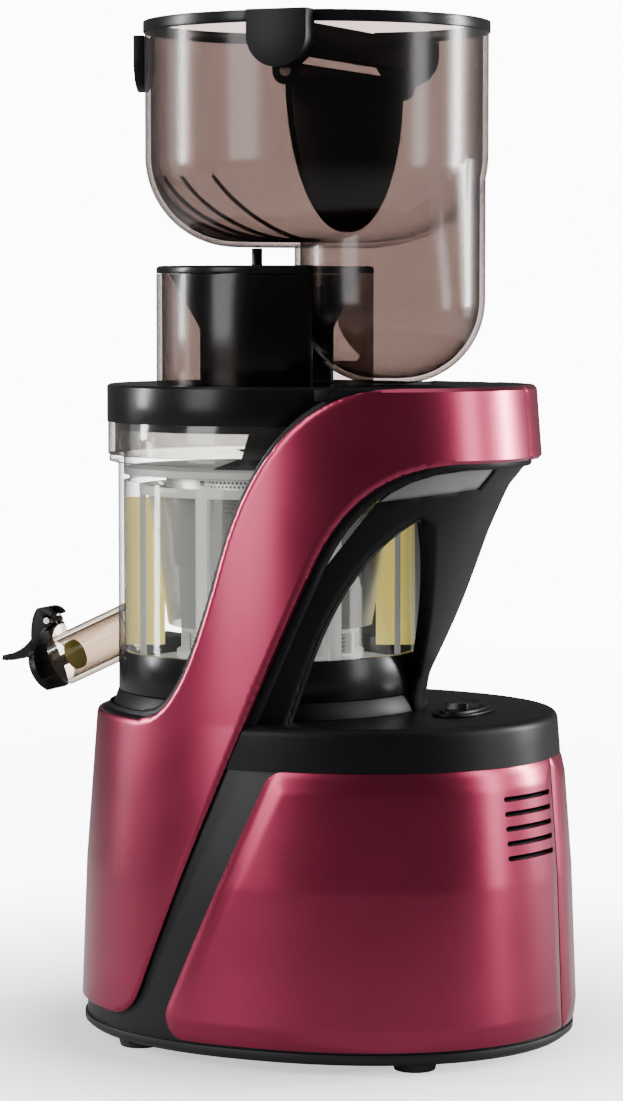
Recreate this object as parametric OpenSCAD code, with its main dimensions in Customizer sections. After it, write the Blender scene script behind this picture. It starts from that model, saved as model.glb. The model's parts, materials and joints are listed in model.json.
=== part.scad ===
/* [Body outline] */
// Width of the body at the foot
foot_w = 188; // [176:1:210]
// Length of the body at the foot
foot_l = 230; // [220:1:250]
// Width of the body at the deck
deck_w = 175; // [168:1:186]
// Length of the body at the deck
deck_l = 214; // [208:1:226]
// Width of the body at the top of the arch
arch_w = 164; // [163:1:172]
// Length of the body at the top of the arch
arch_l = 190; // [188:1:200]
// Roundness of the body in plan, 2 is an ellipse
roundness = 2.15; // [2:0.05:2.4]
// How far the base bulges out half way up
side_bulge = 1.3; // [0:0.1:3]
// Facets round the body
body_facets = 60; // [36:4:72]

/* [Heights] */
// Height of the rubber feet
feet_h = 4; // [3:0.5:8]
// Thickness of the bottom plate
plate_t = 5; // [4:0.5:6]
// Height of the base up to the underside of the deck
base_h = 131; // [131:1:135]
// Height of the deck cover
deck_h = 19; // [19:1:24]
// Height of the arch above the deck
arch_h = 147; // [147:1:155]

/* [Covers] */
// Thickness of the ribbon and panel skins
skin_t = 2.4; // [1.8:0.1:3]
// Thickness of the ribbon's doubling along the arch
ribbon_doubler_t = 2; // [1:0.1:2.2]
// Gap between parts of the casing
casing_gap = 0.15; // [0.1:0.05:0.3]
// Wall of the inner housing
housing_t = 3; // [2:0.5:4]
// Gap at the front and rear seams
seam_gap = 1; // [0.4:0.1:2]
// Width of the bevel round a side panel
bevel_w = 9; // [6:1:12]
// Width of the black edge that shows beyond the ribbon
liner_w = 3; // [2:0.5:4]
// Thickness of the arch frame
frame_t = 5.4; // [4:0.2:6]
// Number of vent slots
vent_count = 5; // [2:1:7]
// Spacing of the vent slots
vent_pitch = 6.5; // [5:0.5:9]
// Height of one vent slot
vent_h = 2.3; // [1.5:0.1:3.5]
// Length of a vent slot
vent_l = 34; // [20:1:40]

/* [Drum] */
// How far the drum axis stands in front of the body's centre
drum_forward = 28.5; // [27:0.5:30]
// Radius of the bowl
bowl_r = 69.6; // [68:0.1:70]
// Wall of the bowl
bowl_t = 2.5; // [2:0.1:3]
// Height of the seat collar
seat_h = 8; // [6:0.5:10]
// Height of the dark bowl base
bowl_base_h = 18; // [17:0.5:20]
// Height of the clear bowl wall
bowl_wall_h = 100; // [98:1:104]
// Radius of the lid
lid_r = 74.6; // [73.5:0.1:75]
// Height of the black lid ring
lid_h = 17; // [14:0.5:20]
// Radius of the feed neck
neck_r = 52; // [50:0.5:54]
// Height of the feed neck
neck_h = 50; // [48:1:54]
// Wall of the clear plastic parts
clear_t = 2.6; // [2:0.1:3]

/* [Spout] */
// Slope of the juice spout below level
spout_slope = 25; // [15:1:30]
// Outer radius of the juice spout
spout_r = 12; // [10:0.5:13]
// Bore radius of the juice spout
spout_bore_r = 9.6; // [8:0.1:10]
// Length of the juice spout from the bowl
spout_l = 42; // [36:1:46]
// Reach from the body's centre to the tip of the cap lever
front_reach = 164; // [160:1:172]

/* [Hopper] */
// Radius of the hopper
hopper_r = 77.7; // [76:0.1:80]
// How far the hopper axis stands in front of the body's centre
hopper_forward = 5.5; // [4:0.5:7]
// Height of the hopper above its bulb's foot
hopper_h = 162.7; // [160:0.1:170]
// Radius of the hopper's deep bulb
bulb_r = 43; // [41:0.5:44]
// How far the bulb axis stands behind the body's centre
bulb_back = 30; // [28:0.5:31]
// Height of the gate's pivot below the hopper's rim
gate_drop = 26; // [24:0.5:28]
// Radius of the gate below its pivot
gate_r = 68.5; // [64:0.5:68.5]
// Thickness of the gate
gate_t = 3; // [2:0.5:5]
// Radius of the gate's pivot pins
gate_pin_r = 2.5; // [2:0.1:3]

/* [Drive] */
// Radius of the output shaft
shaft_r = 7; // [6:0.5:8]
// Radius of the motor's stator
stator_r = 38; // [34:1:40]
// How far the motor axis stands behind the body's centre
motor_back = 48; // [46:0.5:50]
// Module of the first gear pair
first_module = 1.25; // [1.2:0.05:1.3]
// Module of the second gear pair
second_module = 1.5; // [1.45:0.05:1.55]
// Module of the wiper gears
wiper_module = 1.5; // [1.4:0.05:1.55]
// Radial clearance of a running fit
running = 0.05; // [0.02:0.01:0.1]
// Clearance between parts that stand on each other
seat = 0.3; // [0.2:0.05:0.4]

/* [Hidden] */

$fn = 96;
eps = 0.01;
far = 300;

burgundy = [0.55, 0.16, 0.26];
black = [0.1, 0.1, 0.11];
dark = [0.2, 0.2, 0.21];
grey = [0.62, 0.63, 0.64];
smoke = [0.45, 0.38, 0.36, 0.5];
clear = [0.8, 0.82, 0.82, 0.4];
steel = [0.75, 0.76, 0.78];
silicone = [0.9, 0.85, 0.5];
olive = [0.5, 0.52, 0.12];
copper = [0.7, 0.42, 0.25];
board_green = [0.1, 0.35, 0.2];

// The body's centre stands behind the frame's origin, which is the middle of the whole footprint
body_y = (front_reach - foot_l / 2) / 2;

// Heights above the table
plate_z = feet_h;
casing_z = plate_z + plate_t;
deck_z = base_h + deck_h;
arch_z = deck_z + arch_h;
bowl_z = deck_z + seat_h;
wall_z = bowl_z + bowl_base_h;
rim_z = wall_z + bowl_wall_h;
seal_h = 3.4;
lid_z = rim_z + seal_h + 2 * seat;
neck_z = lid_z + lid_h;
neck_top_z = neck_z + neck_h;
neck_cap_t = 3.5;
hopper_z = max(neck_z, arch_z) + seat;
hopper_top_z = hopper_z + hopper_h;
rim_ring_h = 5;
hopper_wall_top_z = hopper_top_z - rim_ring_h;

// Body outline: half sizes at any height
mid_z = (casing_z + deck_z) / 2;
function half_w(z) = lookup(z, [[casing_z, foot_w / 2], [mid_z, (foot_w + deck_w) / 4 + side_bulge],
    [deck_z, deck_w / 2], [arch_z, arch_w / 2]]);
function half_l(z) = lookup(z, [[casing_z, foot_l / 2], [mid_z, (foot_l + deck_l) / 4 + side_bulge],
    [deck_z, deck_l / 2], [arch_z, arch_l / 2]]);
function power_sign(v, e) = sign(v) * pow(abs(v), e);
function oval_point(a, b, angle) =
    [a * power_sign(cos(angle), 2 / roundness), b * power_sign(sin(angle), 2 / roundness)];
function levels(low, high) = concat([low], [for (z = [mid_z, deck_z]) if (z > low + 1 && z < high - 1) z], [high]);

// A closed solid through rings of points, from below
module loft(list) {
    count = len(list[0]);
    last = len(list) - 1;
    points = [for (ring = list) each ring];
    sides = [for (k = [0:last - 1]) for (i = [0:count - 1]) let (j = (i + 1) % count)
        each [[k * count + i, (k + 1) * count + i, k * count + j],
            [k * count + j, (k + 1) * count + i, (k + 1) * count + j]]];
    floor_face = [for (i = [0:count - 1]) i];
    top_face = [for (i = [count - 1:-1:0]) last * count + i];
    polyhedron(points, concat(sides, [floor_face], [top_face]));
}

// A solid through oval rings, each given as [height, inset from the body's outline]
module rings(list) {
    loft([for (ring = list) [for (i = [0:body_facets - 1])
        let (p = oval_point(half_w(ring[0]) - ring[1], half_l(ring[0]) - ring[1], 360 * i / body_facets))
        [p[0], p[1], ring[0]]]]);
}

module body(inset, low, high) {
    rings([for (z = levels(low, high)) [z, inset]]);
}

module body_shell(outer, inner, low, high) {
    difference() {
        body(outer, low, high);
        body(inner, low - 1, high + 1);
    }
}

// Curves for the outlines that are seen from the side, as points of depth and height
function bezier(a, b, c, d, steps = 8) = [for (i = [0:steps]) let (t = i / steps, s = 1 - t)
    s * s * s * a + 3 * s * s * t * b + 3 * s * t * t * c + t * t * t * d];

column_top_z = deck_z - 1;
ribbon_foot_z = 16;
arch_band_h = 33;
band_z = arch_z - arch_band_h;
ribbon_upper = concat([[-far, column_top_z], [-62, column_top_z]],
    bezier([-60, deck_z], [-40, deck_z], [-28, deck_z + 35], [-17, deck_z + 72]),
    bezier([-17, deck_z + 72], [-6.5, deck_z + 107], [16, arch_z], [60, arch_z]),
    [[far, arch_z]]);
ribbon_lower = concat([[far, band_z], [80, band_z]],
    bezier([80, band_z], [50, band_z - 2], [33, band_z - 24], [23, band_z - 49]),
    bezier([-57, 30], [-62, 18], [-70, ribbon_foot_z], [-80, ribbon_foot_z], 5),
    [[-far, ribbon_foot_z]]);
ribbon_outline = concat(ribbon_upper, ribbon_lower);

// The arch's wall under the ribbon, its window and the pocket for the grip
web_outline = [[-6, deck_z], [20, band_z - 54], [50, band_z - 14], [60, band_z + 2], [far, band_z + 2], [far, deck_z]];
window_outline = concat(
    bezier([9, deck_z - 1], [18.5, deck_z + 33], [34, deck_z + 72], [60, deck_z + 89]),
    bezier([60, deck_z + 89], [63.5, deck_z + 91], [66, deck_z + 86], [65.5, deck_z + 76]),
    [[65.5, deck_z - 1]]);
spine_foot_w = 12;
spine_top_w = 76;
spine_outline = [[-spine_foot_w / 2, deck_z - 1], [spine_foot_w / 2, deck_z - 1], [spine_foot_w / 2, deck_z + 15],
    [spine_top_w / 2, deck_z + 85], [spine_top_w / 2, band_z], [-spine_top_w / 2, band_z],
    [-spine_top_w / 2, deck_z + 85], [-spine_foot_w / 2, deck_z + 15]];
grip_outline = [[46, band_z - 17], [83, band_z - 12], [90, band_z + 2], [46, band_z + 2]];

panel_top_z = base_h;
panel_foot_z = casing_z + 1;
panel_outline = [[8, panel_top_z], [-48, panel_foot_z], [far, panel_foot_z], [far, panel_top_z]];
panel_corner_r = 10;

// An outline seen from the side, cut right across the body
module across() {
    rotate([90, 0, 90])
        linear_extrude(far, center = true)
            children();
}

// The half of space on one side of the body's middle, side is 1 or -1
module half_space(side, gap) {
    translate([side > 0 ? gap : -gap - far, -far / 2, -eps])
        cube([far, far, 2 * far]);
}

module at_body() {
    translate([0, body_y, 0])
        children();
}

module at_drum() {
    translate([0, -drum_forward, 0])
        children();
}

module at_hopper() {
    translate([0, -hopper_forward, 0])
        children();
}

module at_bulb() {
    translate([0, bulb_back, 0])
        children();
}

module at_motor() {
    translate([0, motor_back, 0])
        children();
}

module tube(outer, inner, low, high) {
    translate([0, 0, low])
        difference() {
            cylinder(r = outer, h = high - low);
            translate([0, 0, -1])
                cylinder(r = inner, h = high - low + 2);
        }
}

// ---------- base ----------

foot_r = 10;
foot_across = foot_w / 2 - 32;
foot_along = foot_l / 2 - 49;
boss_r = 4;
screw_r = 1.7;
screw_head_r = 3.2;
screw_l = 12;
deck_top_t = 3;
boss_l = 7;
board_z = 20;
board_size = [32, 52, 1.6];
board_corner = [16 - foot_w / 2, -48];
board_post_r = 3;
frame_inset = skin_t + ribbon_doubler_t + casing_gap + 0.05;
housing_inset = skin_t + casing_gap;
inner_inset = housing_inset + housing_t;

module foot_places() {
    for (x = [-1, 1], y = [-1, 1])
        translate([x * foot_across, y * foot_along, 0])
            children();
}

base_screw_across = foot_w / 2 - 46;
base_screw_along = foot_l / 2 - 23;
module base_screw_places() {
    for (x = [-1, 1], y = [-1, 1])
        translate([x * base_screw_across, y * base_screw_along, 0])
            children();
}

module board_places() {
    for (x = [5, board_size[0] - 5], y = [5, board_size[1] - 5])
        translate([board_corner[0] + x, board_corner[1] + y, 0])
            children();
}

module bottom_plate() {
    color(dark)
        difference() {
            union() {
                rings([[plate_z, 4], [plate_z + 2, 1.5], [casing_z - casing_gap, 1.5]]);
                board_places()
                    translate([0, 0, casing_z - 1])
                        cylinder(r = board_post_r, h = board_z - casing_z + 1);
            }
            base_screw_places()
                translate([0, 0, plate_z - 1])
                    cylinder(r = screw_r + 0.2, h = plate_t + 3);
            base_screw_places()
                translate([0, 0, plate_z - 1])
                    cylinder(r = screw_head_r + 0.3, h = 3);
            foot_places()
                translate([0, 0, plate_z - 1])
                    cylinder(r = foot_r - 4, h = 3);
        }
}

module rubber_feet() {
    color(black)
        foot_places() {
            cylinder(r1 = foot_r - 1, r2 = foot_r, h = feet_h);
            translate([0, 0, feet_h - eps])
                cylinder(r = foot_r - 4 - running, h = 2 - seat);
        }
}

vent_top_z = 117.5;
vent_x = 24;
module vent_slots() {
    for (i = [0:vent_count - 1])
        translate([vent_x, deck_l / 2, vent_top_z - i * vent_pitch])
            cube([vent_l, deck_l / 2, vent_h], center = true);
}

inlet_x = -27;
inlet_z = 34;
inlet_w = 28;
inlet_h = 22;
inlet_motor_gap = 4.3;
inlet_near_x = inlet_x + inlet_w / 2;
inlet_depth = half_l(inlet_z) - motor_back - sqrt(pow(stator_r, 2) - pow(inlet_near_x, 2)) - inlet_motor_gap;
inlet_size = [inlet_w, inlet_depth, inlet_h];
inlet_wall = 4;
inlet_pin_r = 1.2;
inlet_pin_gap = 10;
inlet_back_y = half_l(inlet_z) - inlet_size[1];
module inlet_block(extra) {
    translate([inlet_x, inlet_back_y + inlet_size[1] / 2 - extra, inlet_z])
        cube([inlet_size[0] + 2 * extra, inlet_size[1] + 4 * extra, inlet_size[2] + 2 * extra], center = true);
    translate([inlet_x, inlet_back_y + inlet_size[1], inlet_z])
        cube([inlet_size[0] + 2 * extra, inlet_wall, inlet_size[2] + 2 * extra], center = true);
}

module base_housing() {
    color(dark)
        difference() {
            union() {
                body_shell(housing_inset, inner_inset, casing_z, base_h);
                intersection() {
                    body(housing_inset + 0.5, casing_z, base_h);
                    base_screw_places()
                        translate([0, 0, casing_z])
                            cylinder(r = boss_r, h = 22);
                }
            }
            vent_slots();
            inlet_block(casing_gap);
            base_screw_places()
                translate([0, 0, casing_z - 1])
                    cylinder(r = screw_r, h = 15);
        }
}

module rounded_panel(shrink) {
    offset(r = panel_corner_r)
        offset(delta = -panel_corner_r - shrink)
            polygon(panel_outline);
}

module side_panel(side) {
    bevel_steps = 3;
    color(burgundy)
        difference() {
            union() {
                for (i = [0:bevel_steps])
                    intersection() {
                        body_shell((bevel_steps - i) * 0.5, skin_t, panel_foot_z, panel_top_z);
                        across()
                            rounded_panel(casing_gap + i * bevel_w / bevel_steps);
                        half_space(side, seam_gap / 2);
                    }
            }
            vent_slots();
            inlet_block(casing_gap);
        }
}

module side_panel_right() {
    side_panel(1);
}

module side_panel_left() {
    side_panel(-1);
}

output_hole_r = 26;
module deck_cover() {
    edge = 1.5;
    color(black)
        difference() {
            union() {
                difference() {
                    rings([[base_h + casing_gap, edge], [deck_z - 3.5, edge], [deck_z - 1, edge + 1.1],
                        [deck_z, edge + 3]]);
                    rings([[base_h - 1, inner_inset + 1], [deck_z - deck_top_t, inner_inset + 1]]);
                }
                collar_screw_places()
                    translate([0, 0, deck_z - deck_top_t - boss_l])
                        cylinder(r = boss_r, h = boss_l + 1);
            }
            intersection() {
                body_shell(-5, housing_inset, base_h - 1, deck_z + 1);
                across()
                    offset(delta = casing_gap)
                        polygon(ribbon_outline);
            }
            translate([0, -drum_forward, base_h])
                cylinder(r = output_hole_r, h = deck_h + 1);
            translate([0, switch_y, deck_z - switch_depth - casing_gap])
                oval_block(switch_w / 2 - 4 + casing_gap, switch_l / 2 - 4 + casing_gap, switch_depth + 1);
            collar_screw_places()
                translate([0, 0, deck_z - screw_l])
                    cylinder(r = screw_r, h = screw_l + 1);
            gearbox_screw_places()
                translate([0, 0, deck_z - deck_top_t - 1])
                    cylinder(r = screw_r, h = deck_top_t + 0.3);
        }
}

// ---------- arch ----------

module ribbon(side) {
    color(burgundy)
        intersection() {
            union() {
                body_shell(0, skin_t, ribbon_foot_z, arch_z);
                body_shell(skin_t - eps, skin_t + ribbon_doubler_t, deck_z + casing_gap, arch_z);
            }
            across()
                polygon(ribbon_outline);
            half_space(side, seam_gap / 2);
        }
}

module ribbon_right() {
    ribbon(1);
}

module ribbon_left() {
    ribbon(-1);
}

drum_gap = 1.4;
arch_top_t = 5.5;
frame_top_z = arch_z - arch_top_t - casing_gap;
module drum_space() {
    translate([0, -drum_forward, deck_z - 5]) {
        cylinder(r = bowl_r + drum_gap, h = arch_z - deck_z);
        translate([0, 0, lid_z - deck_z - 22])
            cylinder(r = lid_r + drum_gap - 0.4, h = far);
        cylinder(r = bowl_r + seat_flare + 2 * seat, h = seat_h + 5);
    }
}

// The wall behind the drum: it hugs the drum at the deck and spreads to the body's outline at the band
cradle_inset = 0.5;
cradle_share = [[deck_z, 0], [deck_z + 5, 0], [deck_z + 18, 0.05], [deck_z + 45, 0.28], [deck_z + 81, 0.57],
    [band_z - 13, 0.77], [band_z - 6, 0.9], [band_z, 1]];
function cradle_ring(z, inset) =
    let (share = lookup(z, cradle_share),
        a = half_w(z) - frame_inset - inset,
        b = (1 - share) * (bowl_r + frame_t) + share * (half_l(band_z) - frame_inset) - inset,
        bend = 2 / (2 + share * (roundness - 2)))
    [for (i = [0:body_facets - 1]) let (angle = 360 * i / body_facets)
        [a * power_sign(cos(angle), bend), b * power_sign(sin(angle), bend) - drum_forward * (1 - share), z]];
module cradle(inset, extra) {
    heights = concat([deck_z + casing_gap - extra], [for (k = [1:len(cradle_share) - 1]) cradle_share[k][0]],
        [band_z + 2 + extra]);
    loft([for (z = heights) cradle_ring(z, inset)]);
}

grip_depth = 3;
grip_t = 1.6;
module grip_zone(gap) {
    difference() {
        across()
            difference() {
                offset(r = grip_depth - gap)
                    offset(delta = -grip_depth)
                        polygon(grip_outline);
                offset(r = liner_w + casing_gap + gap)
                    polygon(ribbon_outline);
            }
        cube([spine_top_w / 2 + 2 * gap, far, 2 * far], center = true);
    }
}

module arch_frame(side) {
    color(black)
        difference() {
            intersection() {
                union() {
                    intersection() {
                        body_shell(frame_inset, frame_inset + frame_t, deck_z + casing_gap, frame_top_z);
                        across()
                            offset(r = liner_w)
                                polygon(ribbon_outline);
                    }
                    difference() {
                        intersection() {
                            cradle(cradle_inset, 0);
                            across()
                                polygon(web_outline);
                        }
                        cradle(cradle_inset + frame_t, 1);
                        difference() {
                            across()
                                polygon(window_outline);
                            rotate([90, 0, 0])
                                linear_extrude(far, center = true)
                                    polygon(spine_outline);
                        }
                        difference() {
                            grip_zone(0);
                            cradle(cradle_inset + grip_depth, 2);
                        }
                    }
                }
                half_space(side, 0);
            }
            drum_space();
        }
}

module arch_frame_right() {
    arch_frame(1);
}

module arch_frame_left() {
    arch_frame(-1);
}

grille_l = 32;
grille_w = 7;
grille_x = arch_w / 2 - 18;
grille_place = 0.463;
grille_y = grille_place * arch_l / 2;
module grille_pocket(extra) {
    for (side = [-1, 1])
        translate([side * grille_x, grille_y, arch_z - 1])
            rotate([0, 0, side * 24])
                cube([grille_w + 2 * extra, grille_l + 2 * extra, 4], center = true);
}

module arch_top_cover() {
    color(black)
        difference() {
            intersection() {
                rings([[frame_top_z + casing_gap, frame_inset], [arch_z - 0.6, frame_inset], [arch_z, frame_inset + 0.6]]);
                translate([-far / 2, 24, 0])
                    cube([far, far, far * 2]);
            }
            drum_space();
            grille_pocket(casing_gap);
        }
}

module arch_vent_grille() {
    rib_pitch = 3.2;
    rib_count = floor(grille_l / rib_pitch);
    color(black)
        for (side = [-1, 1])
            translate([side * grille_x, grille_y, arch_z - 3])
                rotate([0, 0, side * 24]) {
                    translate([-grille_w / 2, -grille_l / 2, 0])
                        cube([grille_w, grille_l, 1.4]);
                    for (i = [0:rib_count - 1])
                        translate([-grille_w / 2, -grille_l / 2 + i * rib_pitch, 1.4 - eps])
                            cube([grille_w, 1.5, 1.6]);
                }
}

module handle_grip() {
    color(grey)
        difference() {
            intersection() {
                cradle(cradle_inset + grip_depth - casing_gap - grip_t, -1);
                grip_zone(casing_gap);
            }
            cradle(cradle_inset + grip_depth - casing_gap, 0);
        }
}

// ---------- switch, inlet and board ----------

switch_y = 66;
switch_w = 48;
switch_l = 24;
switch_depth = 9;
rocker_w = 20;
rocker_l = 10;
rocker_axis_z = deck_z - 1;
rocker_axle_r = 1.5;
module oval_block(a, b, h) {
    linear_extrude(h)
        polygon([for (i = [0:47]) oval_point(a, b, 7.5 * i)]);
}

module switch_bezel() {
    color(black)
        translate([0, switch_y, 0])
            difference() {
                union() {
                    translate([0, 0, deck_z + casing_gap])
                        oval_block(switch_w / 2, switch_l / 2, 1.2);
                    translate([0, 0, deck_z + casing_gap + 1])
                        oval_block(switch_w / 2 - 3, switch_l / 2 - 3, 1.2);
                    translate([0, 0, deck_z - switch_depth])
                        oval_block(switch_w / 2 - 4, switch_l / 2 - 4, switch_depth + 1);
                }
                translate([-rocker_w / 2 - 1, -rocker_l / 2 - seat, rocker_axis_z - 6])
                    cube([rocker_w + 2, rocker_l + 2 * seat, 20]);
                translate([0, 0, rocker_axis_z])
                    rotate([90, 0, 0])
                        cylinder(r = rocker_axle_r, h = rocker_l + 3.2, center = true);
            }
}

module switch_rocker() {
    color(dark)
        translate([0, switch_y, rocker_axis_z])
            rotate([90, 0, 0]) {
                cylinder(r = rocker_axle_r - running, h = rocker_l + 2, center = true);
                linear_extrude(rocker_l, center = true)
                    polygon(concat([[-4, -3.5], [4, -3.5], [rocker_w / 2, 0.5]],
                        bezier([rocker_w / 2 - 0.5, 6], [4, 4.2], [-4, 4.2], [0.5 - rocker_w / 2, 6]),
                        [[-rocker_w / 2, 0.5]]));
            }
}

module power_inlet() {
    color(black)
        difference() {
            intersection() {
                inlet_block(0);
                body(0.5, casing_z, mid_z);
            }
            translate([inlet_x, inlet_back_y + inlet_wall + inlet_size[1] / 2, inlet_z])
                cube([inlet_size[0] - 2 * inlet_wall, inlet_size[1], inlet_size[2] - 2 * inlet_wall], center = true);
        }
    color(steel)
        for (side = [-1, 1])
            translate([inlet_x + side * inlet_pin_gap / 2, inlet_back_y + inlet_wall - 1, inlet_z])
                rotate([-90, 0, 0])
                    cylinder(r = inlet_pin_r, h = inlet_size[1] / 2);
}

module control_board() {
    color(board_green)
        translate([board_corner[0], board_corner[1], board_z])
            cube(board_size);
    color(dark)
        translate([board_corner[0] + 10, board_corner[1] + 8, board_z + board_size[2] - eps])
            cube([14, 14, 8]);
    color(dark)
        translate([board_corner[0] + 17, board_corner[1] + 38, board_z + board_size[2] - eps])
            cylinder(r = 6, h = 16);
}

// ---------- motor and gearbox ----------

mount_floor_t = 2.5;
mount_vent_r = 9;
stator_z = casing_z + 17;
stator_h = 66;
stator_top_z = stator_z + stator_h;
air_gap = 0.6;
rotor_r = 20;
motor_shaft_r = 4;
tray_t = 3;
tray_z = stator_top_z + seat;
gear_h = 9;
wheel2_z = tray_z + tray_t + 1.5;
wheel1_z = wheel2_z + gear_h + 3;
gearbox_top_z = wheel1_z + gear_h + 1.5;
cover_t = 4;
pinion1_teeth = 10;
wheel1_teeth = 50;
pinion2_teeth = 12;
wheel2_teeth = 54;
first_distance = first_module * (pinion1_teeth + wheel1_teeth) / 2;
second_distance = second_module * (pinion2_teeth + wheel2_teeth) / 2;
motor_distance = motor_back + drum_forward;
along = (pow(second_distance, 2) - pow(first_distance, 2) + pow(motor_distance, 2)) / (2 * motor_distance);
aside = sqrt(pow(second_distance, 2) - pow(along, 2));
middle_y = along - drum_forward;
first_angle = atan2(middle_y - motor_back, aside);
second_angle = atan2(middle_y + drum_forward, aside);
tooth_width = 0.4;
gearbox_wall = 3;

// A spur gear's outline. One tooth points along the angle facing, unless shift is half a tooth
module gear_outline(teeth, size, facing, shift, width) {
    pitch_r = size * teeth / 2;
    step = 360 / teeth;
    polygon([for (i = [0:teeth - 1]) let (a = facing + (i + shift) * step)
        each [for (p = [[-0.7, -1.15], [-0.4, 0.85], [0.4, 0.85], [0.7, -1.15]])
            let (r = pitch_r + p[1] * size, t = a + p[0] * width * step)
            [r * cos(t), r * sin(t)]]]);
}

module at_middle() {
    translate([aside, middle_y, 0])
        children();
}

module gearbox_outline(extra) {
    hull() {
        translate([0, -drum_forward])
            circle(r = second_module * wheel2_teeth / 2 + 3 + extra, $fn = 48);
        translate([aside, middle_y])
            circle(r = first_module * wheel1_teeth / 2 + 3 + extra, $fn = 48);
        translate([0, motor_back])
            circle(r = 18 + extra, $fn = 48);
    }
}

gearbox_screws_at = [[-44, -55.5], [44, -55.5], [-24.5, 55], [28.5, 60.5]];
screw_head_t = 1.9;
ear_r = 8;
pillar_top_z = deck_z - deck_top_t - seat;
module gearbox_screw_places() {
    for (p = gearbox_screws_at)
        translate([p[0], p[1], 0])
            children();
}

module motor_mount() {
    color(dark)
        at_motor()
            difference() {
                union() {
                    tube(stator_r, stator_r - 5, casing_z, stator_z - casing_gap);
                    tube(stator_r - 1, motor_shaft_r + running, casing_z, casing_z + mount_floor_t);
                }
                for (angle = [45:90:315])
                    rotate([0, 0, angle]) {
                        translate([stator_r - 3, 0, casing_z + 9])
                            cube([12, 12, 10], center = true);
                        translate([stator_r / 2, 0, casing_z - 1])
                            cylinder(r = mount_vent_r, h = mount_floor_t + 2);
                    }
            }
}

module motor_stator() {
    color(steel)
        at_motor()
            tube(stator_r, rotor_r + air_gap, stator_z + 8, stator_top_z - 8);
    color(copper)
        at_motor() {
            tube(stator_r - 6, rotor_r + 4, stator_z + 4, stator_z + 8 + eps);
            tube(stator_r - 6, rotor_r + 4, stator_top_z - 8 - eps, stator_top_z - 4);
        }
    color(dark)
        at_motor() {
            tube(stator_r, stator_r - 4, stator_z, stator_z + 8 + eps);
            tube(stator_r, stator_r - 4, stator_top_z - 8 - eps, stator_top_z);
        }
}

fan_z = casing_z + 4;
fan_h = 9;
fan_r = 31;
rotor_foot_z = casing_z + 0.5;
module motor_rotor() {
    color(steel)
        at_motor() {
            translate([0, 0, stator_z + 9])
                cylinder(r = rotor_r, h = stator_h - 18);
            translate([0, 0, rotor_foot_z])
                cylinder(r = motor_shaft_r, h = gearbox_top_z - 2 - rotor_foot_z);
            translate([0, 0, wheel1_z - 0.5])
                linear_extrude(gear_h + 1)
                    gear_outline(pinion1_teeth, first_module, first_angle, 0, tooth_width);
        }
}

module cooling_fan() {
    color(black)
        at_motor()
            difference() {
                union() {
                    translate([0, 0, fan_z])
                        cylinder(r = 9, h = fan_h);
                    translate([0, 0, fan_z])
                        cylinder(r = fan_r, h = 1.2);
                    for (angle = [0:40:320])
                        rotate([0, 0, angle])
                            translate([6, -0.6, fan_z])
                                cube([fan_r - 7, 1.2, fan_h]);
                }
                translate([0, 0, fan_z - 1])
                    cylinder(r = motor_shaft_r, h = fan_h + 2);
            }
}

module gearbox_tray() {
    color(grey)
        difference() {
            translate([0, 0, tray_z])
                linear_extrude(gearbox_top_z - tray_z)
                    gearbox_outline(gearbox_wall);
            translate([0, 0, tray_z + tray_t])
                linear_extrude(gearbox_top_z)
                    gearbox_outline(0);
            at_motor()
                translate([0, 0, tray_z - 1])
                    cylinder(r = motor_shaft_r + running, h = tray_t + 2);
            at_middle()
                translate([0, 0, tray_z - 1])
                    cylinder(r = 4 + running, h = tray_t + 4);
            at_drum()
                translate([0, 0, tray_z - 1])
                    cylinder(r = bearing_r, h = tray_t + 4);
        }
}

pillar_r = 5;
module gearbox_cover() {
    color(grey)
        difference() {
            union() {
                translate([0, 0, gearbox_top_z + casing_gap])
                    linear_extrude(cover_t)
                        gearbox_outline(gearbox_wall);
                at_drum()
                    translate([0, 0, gearbox_top_z + casing_gap])
                        cylinder(r = bearing_boss_r, h = upper_boss_top_z - gearbox_top_z - casing_gap);
                gearbox_screw_places() {
                    translate([0, 0, gearbox_top_z + casing_gap])
                        cylinder(r = ear_r, h = cover_t);
                    translate([0, 0, gearbox_top_z + 1])
                        cylinder(r = pillar_r, h = pillar_top_z - gearbox_top_z - 1);
                }
            }
            at_drum()
                translate([0, 0, gearbox_top_z - 1])
                    cylinder(r = bearing_r, h = 60);
            at_middle()
                translate([0, 0, gearbox_top_z - 1])
                    cylinder(r = 4 + running, h = cover_t);
            gearbox_screw_places()
                translate([0, 0, gearbox_top_z - 1])
                    cylinder(r = screw_r, h = deck_z - gearbox_top_z);
        }
}

bearing_r = 12;
bearing_boss_r = 17;
upper_boss_top_z = deck_z - deck_top_t;
upper_bearing_h = 8;
module upper_bearing() {
    color(steel)
        at_drum()
            tube(bearing_r, shaft_r + running, upper_boss_top_z - upper_bearing_h, upper_boss_top_z);
}

module lower_bearing() {
    color(steel)
        at_drum()
            tube(bearing_r, shaft_r + running, tray_z, tray_z + tray_t + 1);
}

module intermediate_gear() {
    color(steel)
        at_middle() {
            translate([0, 0, tray_z])
                cylinder(r = 4, h = gearbox_top_z + 2 - tray_z);
            translate([0, 0, wheel2_z - 0.2])
                linear_extrude(wheel1_z - wheel2_z + 0.3)
                    gear_outline(pinion2_teeth, second_module, second_angle + 180, 0, tooth_width);
            translate([0, 0, wheel1_z])
                linear_extrude(gear_h)
                    gear_outline(wheel1_teeth, first_module, first_angle + 180, 0.5, tooth_width);
        }
}

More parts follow.
